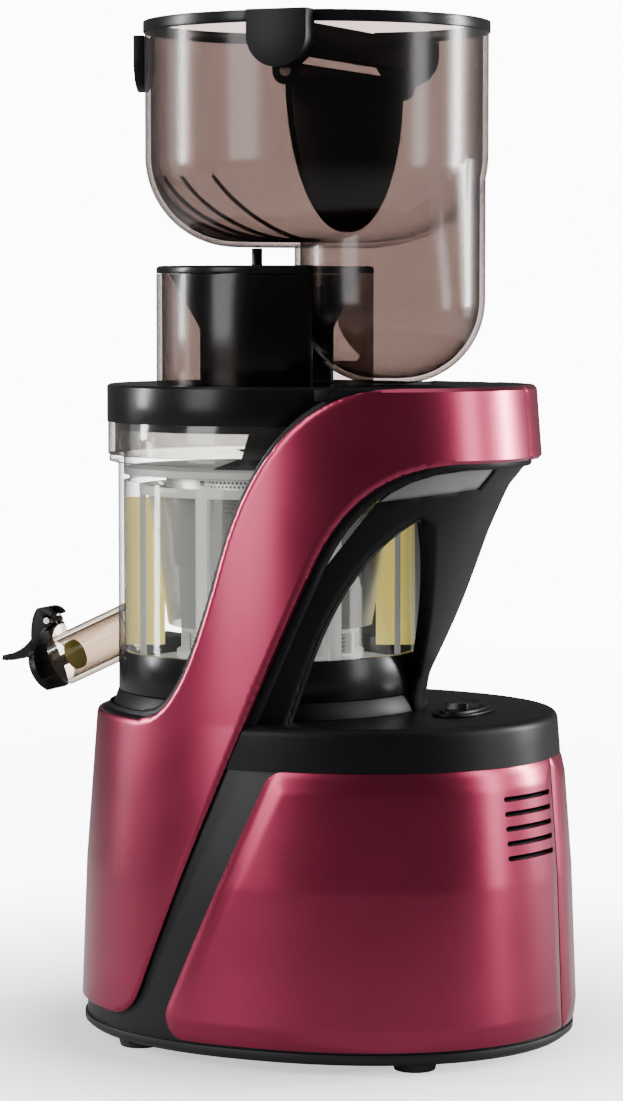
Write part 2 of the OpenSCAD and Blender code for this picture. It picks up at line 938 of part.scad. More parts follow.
module output_gear() {
    color(steel)
        at_drum()
            translate([0, 0, wheel2_z])
                difference() {
                    union() {
                        linear_extrude(gear_h)
                            gear_outline(wheel2_teeth, second_module, second_angle, 0.5, tooth_width);
                        cylinder(r = 14, h = gear_h + 2);
                    }
                    translate([0, 0, -1])
                        cylinder(r = shaft_r, h = gear_h + 4);
                }
}

hex_r = 6.2;
hex_top_z = wall_z + 34;
module output_shaft() {
    color(steel)
        at_drum() {
            translate([0, 0, tray_z + 0.5])
                cylinder(r = shaft_r, h = bowl_z + 2 - tray_z);
            translate([0, 0, bowl_z])
                cylinder(r = hex_r, h = hex_top_z - bowl_z, $fn = 6);
        }
}

seal_r = 14;
module shaft_seal() {
    color(black)
        at_drum()
            tube(seal_r, shaft_r + 0.1, bowl_z - 5, bowl_z - 1);
}

collar_screw_r = 50;
module collar_screw_places() {
    translate([0, -drum_forward, 0])
        for (angle = [45:90:315])
            rotate([0, 0, angle])
                translate([collar_screw_r, 0, 0])
                    children();
}

module screw(low) {
    translate([0, 0, low])
        cylinder(r = screw_r - 0.05, h = screw_l);
}

module base_screws() {
    color(steel)
        base_screw_places() {
            screw(plate_z + 0.5);
            translate([0, 0, plate_z])
                cylinder(r = screw_head_r, h = screw_head_t);
        }
}

module gearbox_screws() {
    color(steel)
        gearbox_screw_places() {
            translate([0, 0, gearbox_top_z - eps])
                cylinder(r = screw_r - 0.05, h = deck_z - 1 - gearbox_top_z);
            translate([0, 0, gearbox_top_z - screw_head_t])
                cylinder(r = screw_head_r, h = screw_head_t);
        }
}

module collar_screws() {
    color(steel)
        collar_screw_places() {
                screw(deck_z + seat_floor_t + 1 - screw_l);
            translate([0, 0, deck_z + seat_floor_t])
                cylinder(r = screw_head_r, h = screw_head_t);
        }
}

// ---------- drum ----------

drive_bore_r = 9.5;
seat_floor_t = 3;
seat_flare = 3;
module drum_seat() {
    color(black)
        at_drum()
            difference() {
                translate([0, 0, deck_z + casing_gap])
                    cylinder(r1 = bowl_r + seat_flare, r2 = bowl_r, h = seat_h - casing_gap - seat);
                translate([0, 0, deck_z + seat_floor_t])
                    difference() {
                        cylinder(r = bowl_r - 4, h = seat_h);
                        cylinder(r = seal_r + 4, h = seat_h);
                    }
                translate([0, 0, deck_z - 1])
                    cylinder(r = drive_bore_r, h = seat_h + 2);
                translate([0, 0, bowl_z - 5 - casing_gap])
                    cylinder(r = seal_r, h = seat_h);
                for (angle = [45:90:315])
                    rotate([0, 0, angle])
                        translate([collar_screw_r, 0, deck_z - 1])
                            cylinder(r = screw_r, h = seat_floor_t + 2);
            }
}

floor_t = 4;
ledge_z = rim_z - 20;
bayonet_angle = 18;
pulp_angle = 236;
spout_root_z = wall_z + 7;
idler_teeth = 12;
sun_teeth = 24;
ring_teeth = sun_teeth + 2 * idler_teeth;
idler_distance = wiper_module * (sun_teeth + idler_teeth) / 2;
wiper_gear_z = bowl_z + floor_t + 1;
wiper_gear_h = 6;
idler_pin_r = 3;

// Turns its children from the spout's own axis, which runs from the bowl's wall along +Z here
module at_spout() {
    translate([0, -drum_forward - bowl_r + 1, spout_root_z])
        rotate([90 + spout_slope, 0, 0])
            children();
}

module pulp_place() {
    at_drum()
        rotate([0, 0, pulp_angle])
            translate([0, 0, bowl_z + floor_t + 6])
                rotate([0, 90, 0])
                    children();
}

module bowl_base() {
    color(black)
        difference() {
            union() {
                at_drum() {
                    tube(bowl_r, bowl_r - 4, bowl_z, wall_z);
                    translate([0, 0, bowl_z])
                        cylinder(r = bowl_r - 4 + eps, h = floor_t);
                    rotate([0, 0, pulp_angle - 90])
                        translate([0, 0, bowl_z + floor_t - eps])
                            translate([0, idler_distance, 0])
                                cylinder(r = idler_pin_r, h = wiper_gear_h + 2);
                }
            }
            at_drum()
                translate([0, 0, bowl_z - 1])
                    cylinder(r = drive_bore_r - 1, h = floor_t + 2);
            pulp_place()
                translate([0, 0, bowl_r - 10])
                    cylinder(r = pulp_bore_r, h = 20);
            at_spout()
                translate([0, 0, -5])
                    cylinder(r = spout_r + seat, h = 20);
        }
}

module bowl_wall() {
    color(clear)
        difference() {
            at_drum() {
                tube(bowl_r, bowl_r - bowl_t, wall_z + casing_gap, rim_z);
                tube(bowl_r + 4, bowl_r - 0.5, ledge_z + 6, ledge_z + 9);
                tube(bowl_r - bowl_t + eps, bowl_r - bowl_t - 2.6, ledge_z - 3, ledge_z);
                for (angle = [0:90:270])
                    rotate([0, 0, bayonet_angle + angle])
                        translate([bowl_r - 0.5, -5, ledge_z + 11])
                            cube([1.5, 10, 5]);
            }
            at_spout()
                translate([0, 0, -5])
                    cylinder(r = spout_r + seat, h = 20);
        }
}

module juice_spout() {
    color(clear)
        difference() {
            union() {
                at_spout()
                    cylinder(r = spout_r, h = spout_l);
                spout_ear();
            }
            at_spout()
                translate([0, 0, -1])
                    cylinder(r = spout_bore_r, h = spout_l + 2);
            at_drum()
                translate([0, 0, bowl_z])
                    cylinder(r = bowl_r - bowl_t, h = 60);
            cap_axis()
                cylinder(r = cap_pin_r + running, h = 40, center = true);
        }
}

cap_pin_r = 1.5;
spout_hinge_rise = 19.4;
spout_hinge_back = 4.1;
cap_r = 14.5;
cap_t = 3;
// The cap's hinge axis, along +Z here
module cap_axis() {
    at_spout()
        translate([0, spout_hinge_rise, spout_l - spout_hinge_back])
            rotate([0, 90, 0])
                children();
}

ear_w = 7;
module spout_ear() {
    cap_axis()
        cylinder(r = 3.4, h = ear_w, center = true);
    at_spout()
        translate([-ear_w / 2, spout_r - 1, spout_l - spout_hinge_back - 3.2])
            cube([ear_w, spout_hinge_rise - spout_r + 1, 6.4]);
}

lever_w = 12;
lever_t = 2.4;
lever_tip_r = lever_t / 2;
lever_tip = [-front_reach + lever_tip_r, spout_root_z - 18];
lever_root = [lever_tip[0] + 19, lever_tip[1] + 1];
module spout_cap() {
    color(black)
        difference() {
            union() {
                at_spout()
                    translate([0, 0, spout_l + seat])
                        cylinder(r = cap_r, h = cap_t);
                cap_axis()
                    difference() {
                        cylinder(r = 3.4, h = ear_w + 8, center = true);
                        cylinder(r = 5, h = ear_w + 2 * seat, center = true);
                    }
                for (side = [-1, 1])
                    at_spout()
                        translate([side * (ear_w / 2 + 2.15) - 1.85, cap_r - 6, spout_l + seat])
                            cube([3.7, spout_hinge_rise - cap_r + 6, cap_t]);
                for (side = [-1, 1])
                    at_spout()
                        translate([side * (ear_w / 2 + 2.15) - 1.85, spout_hinge_rise - 3, spout_l - spout_hinge_back])
                            cube([3.7, 3, spout_hinge_back + seat + cap_t]);
                translate([-lever_w / 2, 0, 0])
                    rotate([90, 0, 90])
                        linear_extrude(lever_w)
                            polygon(concat(
                                bezier(lever_root + [2, 8], lever_root + [-2, 0], lever_tip + [8, -3], lever_tip + [0, lever_tip_r]),
                                bezier(lever_tip + [0, -lever_tip_r], lever_tip + [9, -6], lever_root + [0, -3], lever_root + [4, 3])));
                translate([-lever_w / 2, lever_tip[0], lever_tip[1]])
                    rotate([0, 90, 0])
                        cylinder(r = lever_tip_r, h = lever_w);
            }
            cap_axis()
                cylinder(r = cap_pin_r + running, h = 60, center = true);
        }
}

plug_r = 7;
module cap_plug() {
    color(olive)
        at_spout() {
            translate([0, 0, spout_l - 10])
                cylinder(r = plug_r, h = 5);
            translate([0, 0, spout_l - 5 - eps])
                cylinder(r = plug_r - 3, h = 5 + seat);
        }
}

module cap_pin() {
    color(steel)
        cap_axis()
            cylinder(r = cap_pin_r, h = ear_w + 8, center = true);
}

pulp_bore_r = 5.5;
pulp_l = 24;
module pulp_outlet() {
    color(black)
        difference() {
            pulp_place()
                translate([0, 0, bowl_r - 2])
                    cylinder(r = pulp_bore_r + 2.4, h = pulp_l);
            pulp_place()
                translate([0, 0, bowl_r - 4])
                    cylinder(r = pulp_bore_r, h = pulp_l + 4);
            at_drum()
                translate([0, 0, bowl_z - 5])
                    cylinder(r = bowl_r + seat, h = 60);
        }
}

strainer_top_r = bowl_r - bowl_t - 0.6;
strainer_r = 47;
strainer_step_r = 43;
strainer_low_r = 39;
strainer_z = bowl_z + floor_t + wiper_gear_h + 4;
step_z = wall_z + 44;
auger_r = 35;
module strainer_frame() {
    color(grey)
        at_drum()
            difference() {
                union() {
                    tube(strainer_top_r, strainer_r - 2, ledge_z + seat, ledge_z + 3 + seat);
                    tube(strainer_r, strainer_r - 2, step_z + 18, ledge_z + 1);
                    tube(strainer_r, auger_r + 2, step_z + 16, step_z + 18 + eps);
                    tube(strainer_step_r - 4, strainer_step_r - 6, step_z - 2, step_z + 17);
                    for (z = [strainer_z, strainer_z + 18, step_z - 4])
                        tube(strainer_step_r, strainer_low_r - 2, z, z + 3);
                    for (angle = [0:30:330])
                        rotate([0, 0, angle])
                            translate([strainer_low_r - 1.5, -1.5, strainer_z])
                                cube([3.5, 3, step_z - strainer_z + 2]);
                    tube(strainer_step_r, 21, strainer_z, strainer_z + 2);
                }
                for (angle = [0:90:270])
                    rotate([0, 0, angle + 20])
                        translate([strainer_r - 4, -14, ledge_z - 18])
                            cube([8, 28, 14]);
            }
}

module strainer_mesh() {
    color(steel)
        at_drum() {
            tube(strainer_low_r - 2 - running, strainer_low_r - 2.6, strainer_z + 2, step_z + 16);
            for (angle = [0:90:270])
                rotate([0, 0, angle + 20])
                    intersection() {
                        tube(strainer_r - 0.6, strainer_r - 1.2, ledge_z - 18, ledge_z - 4);
                        translate([0, -14, 0])
                            cube([100, 28, far]);
                    }
        }
}

blade_angle = -68;
cage_r = 60;
cage_w = 3;
blade_top_z = ledge_z - 5;
wiper_low_z = wiper_gear_z + wiper_gear_h - 2;
blade_t = 2;
blade_low_z = wall_z + 1;
blade_h = blade_top_z - 6 - blade_low_z;
module wiper_frame() {
    ring_pitch_r = wiper_module * ring_teeth / 2;
    color(grey)
        at_drum() {
            difference() {
                tube(ring_pitch_r + 4.5, ring_pitch_r - 3, wiper_gear_z, wiper_gear_z + wiper_gear_h);
                translate([0, 0, wiper_gear_z - 1])
                    linear_extrude(wiper_gear_h + 2)
                        ring_space();
            }
            tube(cage_r, ring_pitch_r + 3, wiper_low_z, wiper_low_z + 2.5);
            tube(cage_r, cage_r - cage_w, blade_top_z - 4, blade_top_z);
            difference() {
                for (angle = [0:60:300])
                    rotate([0, 0, blade_angle + angle])
                        translate([cage_r - cage_w, -3, wiper_low_z])
                            cube([cage_w - 0.3, 6, blade_top_z - wiper_low_z - 2]);
                for (angle = [0, 180])
                    rotate([0, 0, blade_angle + angle])
                        translate([0, -blade_t / 2 - running, blade_low_z - running])
                            cube([bowl_r, blade_t + 2 * running, blade_h + 2 * running]);
            }
        }
}

// The space between the wiper ring's teeth: the outline of a gear with wide teeth
module ring_space() {
    pitch_r = wiper_module * ring_teeth / 2;
    step = 360 / ring_teeth;
    facing = pulp_angle;
    polygon([for (i = [0:ring_teeth - 1]) let (a = facing + (i + 0.5) * step)
        each [for (p = [[-0.74, -0.85], [-0.42, 1.2], [0.42, 1.2], [0.74, -0.85]])
            let (r = pitch_r + p[1] * wiper_module, t = a + p[0] * 0.6 * step)
            [r * cos(t), r * sin(t)]]]);
}

module wiper_blades() {
    color(silicone)
        at_drum()
            for (angle = [0, 180])
                rotate([0, 0, blade_angle + angle])
                    translate([strainer_r + 1.5, -blade_t / 2, blade_low_z])
                        cube([bowl_r - bowl_t - 0.8 - strainer_r - 1.5, blade_t, blade_h]);
}

module idler_gear() {
    color(grey)
        at_drum()
            rotate([0, 0, pulp_angle])
                translate([idler_distance, 0, wiper_gear_z])
                    difference() {
                        linear_extrude(wiper_gear_h)
                            gear_outline(idler_teeth, wiper_module, 180, 0.5, tooth_width);
                        translate([0, 0, -1])
                            cylinder(r = idler_pin_r + running, h = wiper_gear_h + 2);
                    }
}

auger_hub_r = 15;
auger_z = bowl_z + floor_t + seat;
auger_tip_z = lid_z + 6;
flight_z = strainer_z + 5;
module auger() {
    color(dark)
        at_drum()
            difference() {
                union() {
                    translate([0, 0, auger_z])
                        cylinder(r = auger_hub_r, h = 12);
                    translate([0, 0, wiper_gear_z])
                        linear_extrude(wiper_gear_h)
                            gear_outline(sun_teeth, wiper_module, pulp_angle, 0, tooth_width);
                    translate([0, 0, strainer_z - 0.5])
                        cylinder(r = 19.5, h = 4);
                    translate([0, 0, strainer_z + 2.5])
                        cylinder(r = 24, h = 3);
                    translate([0, 0, flight_z])
                        cylinder(r1 = 26, r2 = 15, h = ledge_z - flight_z);
                    translate([0, 0, ledge_z - eps])
                        cylinder(r1 = 15, r2 = 9, h = auger_tip_z - ledge_z - 9);
                    translate([0, 0, auger_tip_z - 9 - 2 * eps])
                        cylinder(r1 = 9, r2 = 5, h = 9);
                    translate([0, 0, flight_z])
                        linear_extrude(ledge_z - flight_z + 12, twist = 540, slices = 44, segments = 8, $fn = 8)
                            for (side = [0, 180])
                                rotate([0, 0, side])
                                    translate([8, -2.2])
                                        square([auger_r - 8, 4.4]);
                }
                translate([0, 0, auger_z - 1])
                    cylinder(r = hex_r + 0.3, h = hex_top_z - auger_z + 2, $fn = 6);
            }
}

// ---------- lid ----------

module lid_seal() {
    color(dark)
        at_drum()
            tube(bowl_r, bowl_r - 5, rim_z + seat, rim_z + seat + seal_h);
}

feed_r = 30;
lid_skirt_r = 62;
module lid_ring() {
    color(black)
        at_drum()
            difference() {
                union() {
                    tube(lid_r, bowl_r - 6, lid_z, lid_z + 8);
                    translate([0, 0, lid_z + 8 - eps])
                        cylinder(r = lid_r, h = lid_h - 8 - 1);
                    translate([0, 0, neck_z - 1 - 2 * eps])
                        cylinder(r1 = lid_r, r2 = lid_r - 1, h = 1);
                }
                translate([0, 0, lid_z - 1])
                    cylinder(r = feed_r, h = lid_h + 2);
            }
}

module lid_collar() {
    low = ledge_z + 9 + seat;
    color(clear)
        at_drum() {
            tube(lid_r - 0.4, bowl_r + 1.4, low, lid_z);
            rotate([0, 0, bayonet_angle - 7])
                for (angle = [0:90:270])
                    rotate([0, 0, angle])
                        translate([bowl_r + 0.3, -1.5, low + 1.5])
                            cube([1.6, 3, 5]);
        }
}

module bulb_bite() {
    at_bulb()
        translate([0, 0, hopper_z - 3])
            cylinder(r = bulb_r + seat, h = far);
}

module feed_neck() {
    color(smoke)
        difference() {
            at_drum()
                tube(neck_r, neck_r - clear_t, neck_z, neck_top_z - casing_gap);
            bulb_bite();
        }
}

post_r = 2.5;
post_forward = 35;
bowl_foot_z = hopper_z + 61.5;
module neck_cap() {
    color(black)
        difference() {
            union() {
                at_drum()
                    translate([0, 0, neck_top_z])
                        cylinder(r = neck_r, h = neck_cap_t - 1);
                at_drum()
                    translate([0, 0, neck_top_z + neck_cap_t - 1 - eps])
                        cylinder(r1 = neck_r, r2 = neck_r - 1.4, h = 1);
                translate([0, -post_forward, neck_top_z + 1])
                    cylinder(r = post_r, h = bowl_foot_z - seat - neck_top_z - 1);
            }
            bulb_bite();
        }
}

chute_top_r = 46;
module feed_chute() {
    wall = 2;
    low = neck_z + seat;
    bend_z = neck_z + 25;
    color(dark)
        difference() {
            at_drum() {
                difference() {
                    union() {
                        translate([0, 0, low])
                            cylinder(r = feed_r + wall, h = bend_z - low);
                        translate([0, 0, bend_z - eps])
                            cylinder(r1 = feed_r + wall, r2 = chute_top_r, h = neck_top_z - seat - bend_z);
                    }
                    translate([0, 0, low - 1])
                        cylinder(r = feed_r, h = bend_z - low + 1 + eps);
                    translate([0, 0, bend_z - eps])
                        cylinder(r1 = feed_r, r2 = chute_top_r - wall, h = neck_top_z - bend_z + 1);
                }
            }
            bulb_bite();
        }
}

// ---------- hopper ----------

bowl_fillet_r = 41;
bulb_fillet_r = 38;
module cup(radius, fillet, low, high) {
    rotate_extrude()
        union() {
            translate([0, low])
                square([radius - fillet, high - low]);
            translate([0, low + fillet])
                square([radius, high - low - fillet]);
            intersection() {
                translate([radius - fillet, low + fillet])
                    circle(r = fillet);
                translate([radius - fillet, low])
                    square([fillet, fillet]);
            }
        }
}

mouth_half_w = 23;
module hopper_body() {
    color(smoke)
        difference() {
            union() {
                at_hopper()
                    translate([0, 0, bowl_foot_z])
                        cup(hopper_r, bowl_fillet_r, 0, hopper_wall_top_z - bowl_foot_z);
                at_bulb()
                    translate([0, 0, hopper_z])
                        cup(bulb_r, bulb_fillet_r, 0, 100);
            }
            at_hopper()
                translate([0, 0, bowl_foot_z])
                    cup(hopper_r - clear_t, bowl_fillet_r - clear_t, clear_t, hopper_h);
            at_bulb()
                translate([0, 0, hopper_z])
                    cup(bulb_r - clear_t, bulb_fillet_r - clear_t, clear_t, hopper_h);
            translate([-mouth_half_w, bulb_back - bulb_r - 5, hopper_z + 10])
                cube([2 * mouth_half_w, 26, 34]);
        }
}

module hopper_rim() {
    color(black)
        at_hopper()
            difference() {
                tube(hopper_r + 0.8, hopper_r - clear_t - 0.6, hopper_wall_top_z, hopper_top_z);
                for (side = [-1, 1])
                    translate([side * hopper_r, hopper_forward + bar_y, hopper_top_z])
                        cube([16, tab_w + 2 * casing_gap, 30], center = true);
            }
}

bar_y = 9;
bar_w = 8;
bar_h = 14;
tab_w = 28;
tab_h = 25;
tab_in = 6.5;
tab_out = 6;
lug_r = 6;
lug_in = gate_r + 0.7;
lug_t = 2.8;
pivot_z = hopper_top_z - gate_drop;
module hopper_bar() {
    end_x = sqrt(pow(hopper_r, 2) - pow(bar_y + hopper_forward, 2));
    color(black)
        difference() {
            union() {
                translate([1 - end_x, bar_y - bar_w / 2, hopper_top_z - bar_h - 4])
                    cube([2 * end_x - 2, bar_w, bar_h]);
                for (side = [-1, 1])
                    translate([side * end_x, bar_y, hopper_top_z])
                        mirror([side < 0 ? 1 : 0, 0, 0])
                            d_shape(-tab_in, tab_out);
                for (side = [-1, 1])
                    translate([side * (lug_in + lug_t / 2), bar_y, pivot_z]) {
                        rotate([0, 90, 0])
                            cylinder(r = lug_r, h = lug_t, center = true);
                        translate([-lug_t / 2, -lug_r, 0])
                            cube([lug_t, 2 * lug_r, gate_drop - 5]);
                    }
            }
            at_hopper()
                tube(hopper_r + casing_gap, hopper_r - clear_t - casing_gap, bowl_foot_z, hopper_wall_top_z + casing_gap);
            translate([0, bar_y, pivot_z])
                rotate([0, 90, 0])
                    cylinder(r = gate_pin_r + running, h = 2 * hopper_r - 2 * clear_t, center = true);
        }
}

// A D-shaped plate that hangs down from its flat edge, thick along X from low to high
module d_shape(low, high) {
    rotate([0, 90, 0])
        translate([0, 0, low])
            linear_extrude(high - low)
                intersection() {
                    union() {
                        translate([tab_h - tab_w / 2, 0])
                            circle(r = tab_w / 2);
                        translate([0, -tab_w / 2])
                            square([tab_h - tab_w / 2, tab_w]);
                    }
                    translate([0, -tab_w])
                        square([2 * tab_h, 2 * tab_w]);
                }
}

module front_tab() {
    tab_angle = -75;
    color(black)
        at_hopper()
            difference() {
                rotate([0, 0, tab_angle])
                    translate([hopper_r, 0, hopper_top_z - 6])
                        d_shape(-1, 4);
                translate([0, 0, bowl_foot_z])
                    cylinder(r = hopper_r + casing_gap, h = hopper_h);
            }
}

module hopper_gate() {
    color(black)
        difference() {
            union() {
                intersection() {
                    translate([0, bar_y, pivot_z])
                        rotate([90, 0, 0])
                            cylinder(r = gate_r, h = gate_t, center = true);
                    translate([-far / 2, -far / 2, 0])
                        cube([far, far, pivot_z + 2]);
                }
                translate([0, bar_y, pivot_z])
                    rotate([0, 90, 0])
                        cylinder(r = 4, h = 2 * gate_r - 4, center = true);
            }
            translate([0, bar_y, pivot_z])
                rotate([0, 90, 0])
                    cylinder(r = gate_pin_r, h = 3 * gate_r, center = true);
        }
}

module gate_pins() {
    pin_l = 10;
    color(steel)
        for (side = [-1, 1])
            translate([side * (lug_in + lug_t - pin_l / 2), bar_y, pivot_z])
                rotate([0, 90, 0])
                    cylinder(r = gate_pin_r, h = pin_l, center = true);
}

at_body() bottom_plate();
at_body() rubber_feet();
at_body() base_housing();
at_body() side_panel_right();
at_body() side_panel_left();
at_body() deck_cover();
at_body() ribbon_right();
at_body() ribbon_left();
at_body() arch_frame_right();
at_body() arch_frame_left();
at_body() arch_top_cover();
at_body() arch_vent_grille();
at_body() handle_grip();
at_body() drum_seat();
at_body() switch_bezel();
at_body() switch_rocker();
at_body() power_inlet();
at_body() control_board();
at_body() motor_mount();
at_body() motor_stator();
at_body() motor_rotor();
at_body() cooling_fan();
at_body() gearbox_tray();
at_body() gearbox_cover();
at_body() intermediate_gear();
at_body() output_gear();
at_body() output_shaft();
at_body() upper_bearing();
at_body() lower_bearing();
at_body() shaft_seal();
at_body() base_screws();
at_body() gearbox_screws();
at_body() collar_screws();
at_body() bowl_base();
at_body() bowl_wall();
at_body() juice_spout();
at_body() spout_cap();
at_body() cap_plug();
at_body() cap_pin();
at_body() pulp_outlet();
at_body() strainer_frame();
at_body() strainer_mesh();
at_body() wiper_frame();
at_body() wiper_blades();
at_body() idler_gear();
at_body() auger();
at_body() lid_seal();
at_body() lid_ring();
at_body() lid_collar();
at_body() feed_neck();
at_body() neck_cap();
at_body() feed_chute();
at_body() hopper_body();
at_body() hopper_rim();
at_body() hopper_bar();
at_body() front_tab();
at_body() hopper_gate();
at_body() gate_pins();
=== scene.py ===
"""Looks of a cold press juicer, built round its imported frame.

Lengths are in metres in the frame's own axes: +Z up, the juice spout towards -Y. Outlines are
drawn in millimetres and turned into metres by the function of that name.
"""

import json
import logging
import math
from contextlib import contextmanager
from dataclasses import dataclass, field
from enum import Enum
from typing import Callable, Iterable, Iterator, Sequence

import bpy
import numpy as np
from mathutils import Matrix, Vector

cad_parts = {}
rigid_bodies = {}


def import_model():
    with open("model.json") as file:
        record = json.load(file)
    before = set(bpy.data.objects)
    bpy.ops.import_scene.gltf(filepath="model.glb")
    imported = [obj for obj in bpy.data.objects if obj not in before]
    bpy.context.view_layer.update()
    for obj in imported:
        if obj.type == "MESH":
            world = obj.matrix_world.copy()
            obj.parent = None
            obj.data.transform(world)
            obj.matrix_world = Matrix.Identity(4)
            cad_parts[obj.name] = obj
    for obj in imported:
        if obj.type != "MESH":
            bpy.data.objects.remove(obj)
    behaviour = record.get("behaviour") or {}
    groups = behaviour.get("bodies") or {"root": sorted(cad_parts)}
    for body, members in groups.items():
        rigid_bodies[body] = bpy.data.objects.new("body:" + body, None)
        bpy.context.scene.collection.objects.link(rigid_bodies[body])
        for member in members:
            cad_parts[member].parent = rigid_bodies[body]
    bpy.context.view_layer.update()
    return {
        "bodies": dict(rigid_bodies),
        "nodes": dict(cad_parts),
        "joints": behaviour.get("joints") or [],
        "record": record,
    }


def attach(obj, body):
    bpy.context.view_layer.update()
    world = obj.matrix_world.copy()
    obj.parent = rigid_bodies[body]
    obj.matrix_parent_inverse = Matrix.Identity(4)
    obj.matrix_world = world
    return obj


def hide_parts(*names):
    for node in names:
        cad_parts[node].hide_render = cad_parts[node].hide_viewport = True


LOG = logging.getLogger("juicer")
MM = 0.001
BODY_Y = 24.5 * MM
DRUM_AHEAD = 28.5 * MM
DRUM_Y = BODY_Y - DRUM_AHEAD
WIDE = 0.2
FAR = 0.3
SAME_PLACE = 1e-6
SHARP = 40.0

Piece = bpy.types.Object
Socket = bpy.types.NodeSocket
Point2 = tuple[float, float]
Colour = tuple[float, float, float]
Relief = Callable[[np.ndarray], np.ndarray]


class Cut(Enum):
    """What a Boolean modifier does with its second solid."""

    CUT = "DIFFERENCE"
    KEEP = "INTERSECT"
    JOIN = "UNION"


class Side(Enum):
    """The two mirrored halves of the casing."""

    RIGHT = 1
    LEFT = -1

    @property
    def label(self) -> str:
        """The half's name in a piece's name."""
        return self.name.lower()


# ---------- modelling ----------


def select_only(obj: Piece) -> None:
    """Leaves one object selected and active.

    Args:
        obj: The object.
    """
    bpy.ops.object.select_all(action="DESELECT")
    obj.select_set(True)
    bpy.context.view_layer.objects.active = obj


@contextmanager
def edit_mode(obj: Piece) -> Iterator[None]:
    """Holds an object in edit mode with the whole of its mesh selected.

    Args:
        obj: The mesh object to work on.

    Yields:
        Nothing.
    """
    select_only(obj)
    bpy.ops.object.mode_set(mode="EDIT")
    bpy.ops.mesh.select_all(action="SELECT")
    yield
    bpy.ops.object.mode_set(mode="OBJECT")


def apply_modifier(obj: Piece, kind: str, **settings: object) -> Piece:
    """Adds a modifier and applies it at once.

    Args:
        obj: The object that gets the modifier.
        kind: Blender's name of the modifier's type.
        **settings: The modifier's own settings.

    Returns:
        The object.
    """
    modifier = obj.modifiers.new(kind.lower(), kind)
    for name, value in settings.items():
        setattr(modifier, name, value)
    select_only(obj)
    bpy.ops.object.modifier_apply(modifier=modifier.name)
    return obj


def combine(obj: Piece, other: Piece, how: Cut) -> Piece:
    """Cuts, keeps or joins one solid with another.

    Args:
        obj: The solid that is changed.
        other: The second solid, which is used up.
        how: What to do with the second solid.

    Returns:
        The changed solid.
    """
    apply_modifier(obj, "BOOLEAN", object=other, operation=how.value, solver="MANIFOLD")
    bpy.data.objects.remove(other)
    return obj


def tidy_normals() -> None:
    """Merges doubled points and turns the faces outwards, in edit mode."""
    bpy.ops.mesh.remove_doubles(threshold=SAME_PLACE)
    bpy.ops.mesh.normals_make_consistent(inside=False)


def merge_slivers(obj: Piece, reach: float = 0.12 * MM) -> Piece:
    """Merges points that lie close together, as cutting a fine grid leaves them.

    Args:
        obj: The solid to tidy.
        reach: The distance below which points are merged.

    Returns:
        The tidied solid.
    """
    with edit_mode(obj):
        bpy.ops.mesh.remove_doubles(threshold=reach)
        bpy.ops.mesh.dissolve_degenerate(threshold=reach / 4)
    return obj


def smooth(obj: Piece, degrees: float = SHARP) -> Piece:
    """Shades an object smooth between its sharp edges.

    Args:
        obj: The object.
        degrees: The angle between faces from which an edge is sharp.

    Returns:
        The object.
    """
    select_only(obj)
    bpy.ops.object.shade_smooth_by_angle(angle=math.radians(degrees))
    return obj


def soften(obj: Piece, width: float, segments: int = 2, degrees: float = 35.0) -> Piece:
    """Rounds the sharp edges of a solid and shades it smooth.

    Args:
        obj: The solid to finish.
        width: How far the rounding reaches from each edge, or 0 for none.
        segments: Faces across each rounding.
        degrees: The smallest angle between faces that counts as an edge.

    Returns:
        The finished solid.
    """
    if width > 0:
        apply_modifier(obj, "BEVEL", width=width, segments=segments, limit_method="ANGLE",
                       angle_limit=math.radians(degrees), use_clamp_overlap=True)
    return smooth(obj, degrees)


def settle(obj: Piece) -> Piece:
    """Moves an object's place into its mesh, so that it sits at the origin.

    Args:
        obj: The object.

    Returns:
        The object.
    """
    select_only(obj)
    bpy.ops.object.transform_apply(location=True, rotation=True, scale=True)
    return obj


def outline_ring(points: Sequence[Vector]) -> Piece:
    """A closed ring of edges through points, started from a circle.

    Args:
        points: The ring's corners, in order.

    Returns:
        The ring's object.
    """
    bpy.ops.object.select_all(action="DESELECT")
    bpy.ops.mesh.primitive_circle_add(vertices=len(points), radius=1.0, fill_type="NOTHING")
    ring = bpy.context.active_object
    for vertex, point in zip(ring.data.vertices, points):
        vertex.co = point
    return ring


def prism(outline: Sequence[Point2], reach: float = WIDE) -> Piece:
    """A solid that runs across the body with an outline seen from the side.

    Args:
        outline: Corners as depth from the body's middle and height.
        reach: How far it runs to each side.

    Returns:
        The closed solid.
    """
    ring = outline_ring([Vector((-reach, y + BODY_Y, z)) for y, z in outline])
    with edit_mode(ring):
        bpy.ops.mesh.edge_face_add()
        bpy.ops.mesh.extrude_region_move(TRANSFORM_OT_translate={"value": (2 * reach, 0.0, 0.0)})
        bpy.ops.mesh.select_all(action="SELECT")
        tidy_normals()
    return ring


def slab(outline: Sequence[Point2], reach: float) -> Piece:
    """A solid that runs along the body with an outline seen from behind.

    Args:
        outline: Corners as the place across and the height, the same on both sides.
        reach: How far it runs each way.

    Returns:
        The closed solid.
    """
    obj = prism(outline, reach)
    select_only(obj)
    bpy.ops.transform.rotate(value=math.pi / 2, orient_axis="Z",
                             center_override=(0.0, BODY_Y, 0.0))
    return settle(obj)


def lathe(profile: Sequence[Point2], steps: int) -> Piece:
    """A solid turned round the drum's upright axis.

    Args:
        profile: The closed outline of one half, as radius and height.
        steps: Faces round the axis.

    Returns:
        The closed solid.
    """
    ring = outline_ring([Vector((r, DRUM_Y, z)) for r, z in profile])
    with edit_mode(ring):
        bpy.ops.mesh.spin(steps=steps, angle=2 * math.pi, center=(0.0, DRUM_Y, 0.0),
                          axis=(0.0, 0.0, 1.0))
        bpy.ops.mesh.select_all(action="SELECT")
        tidy_normals()
    return ring


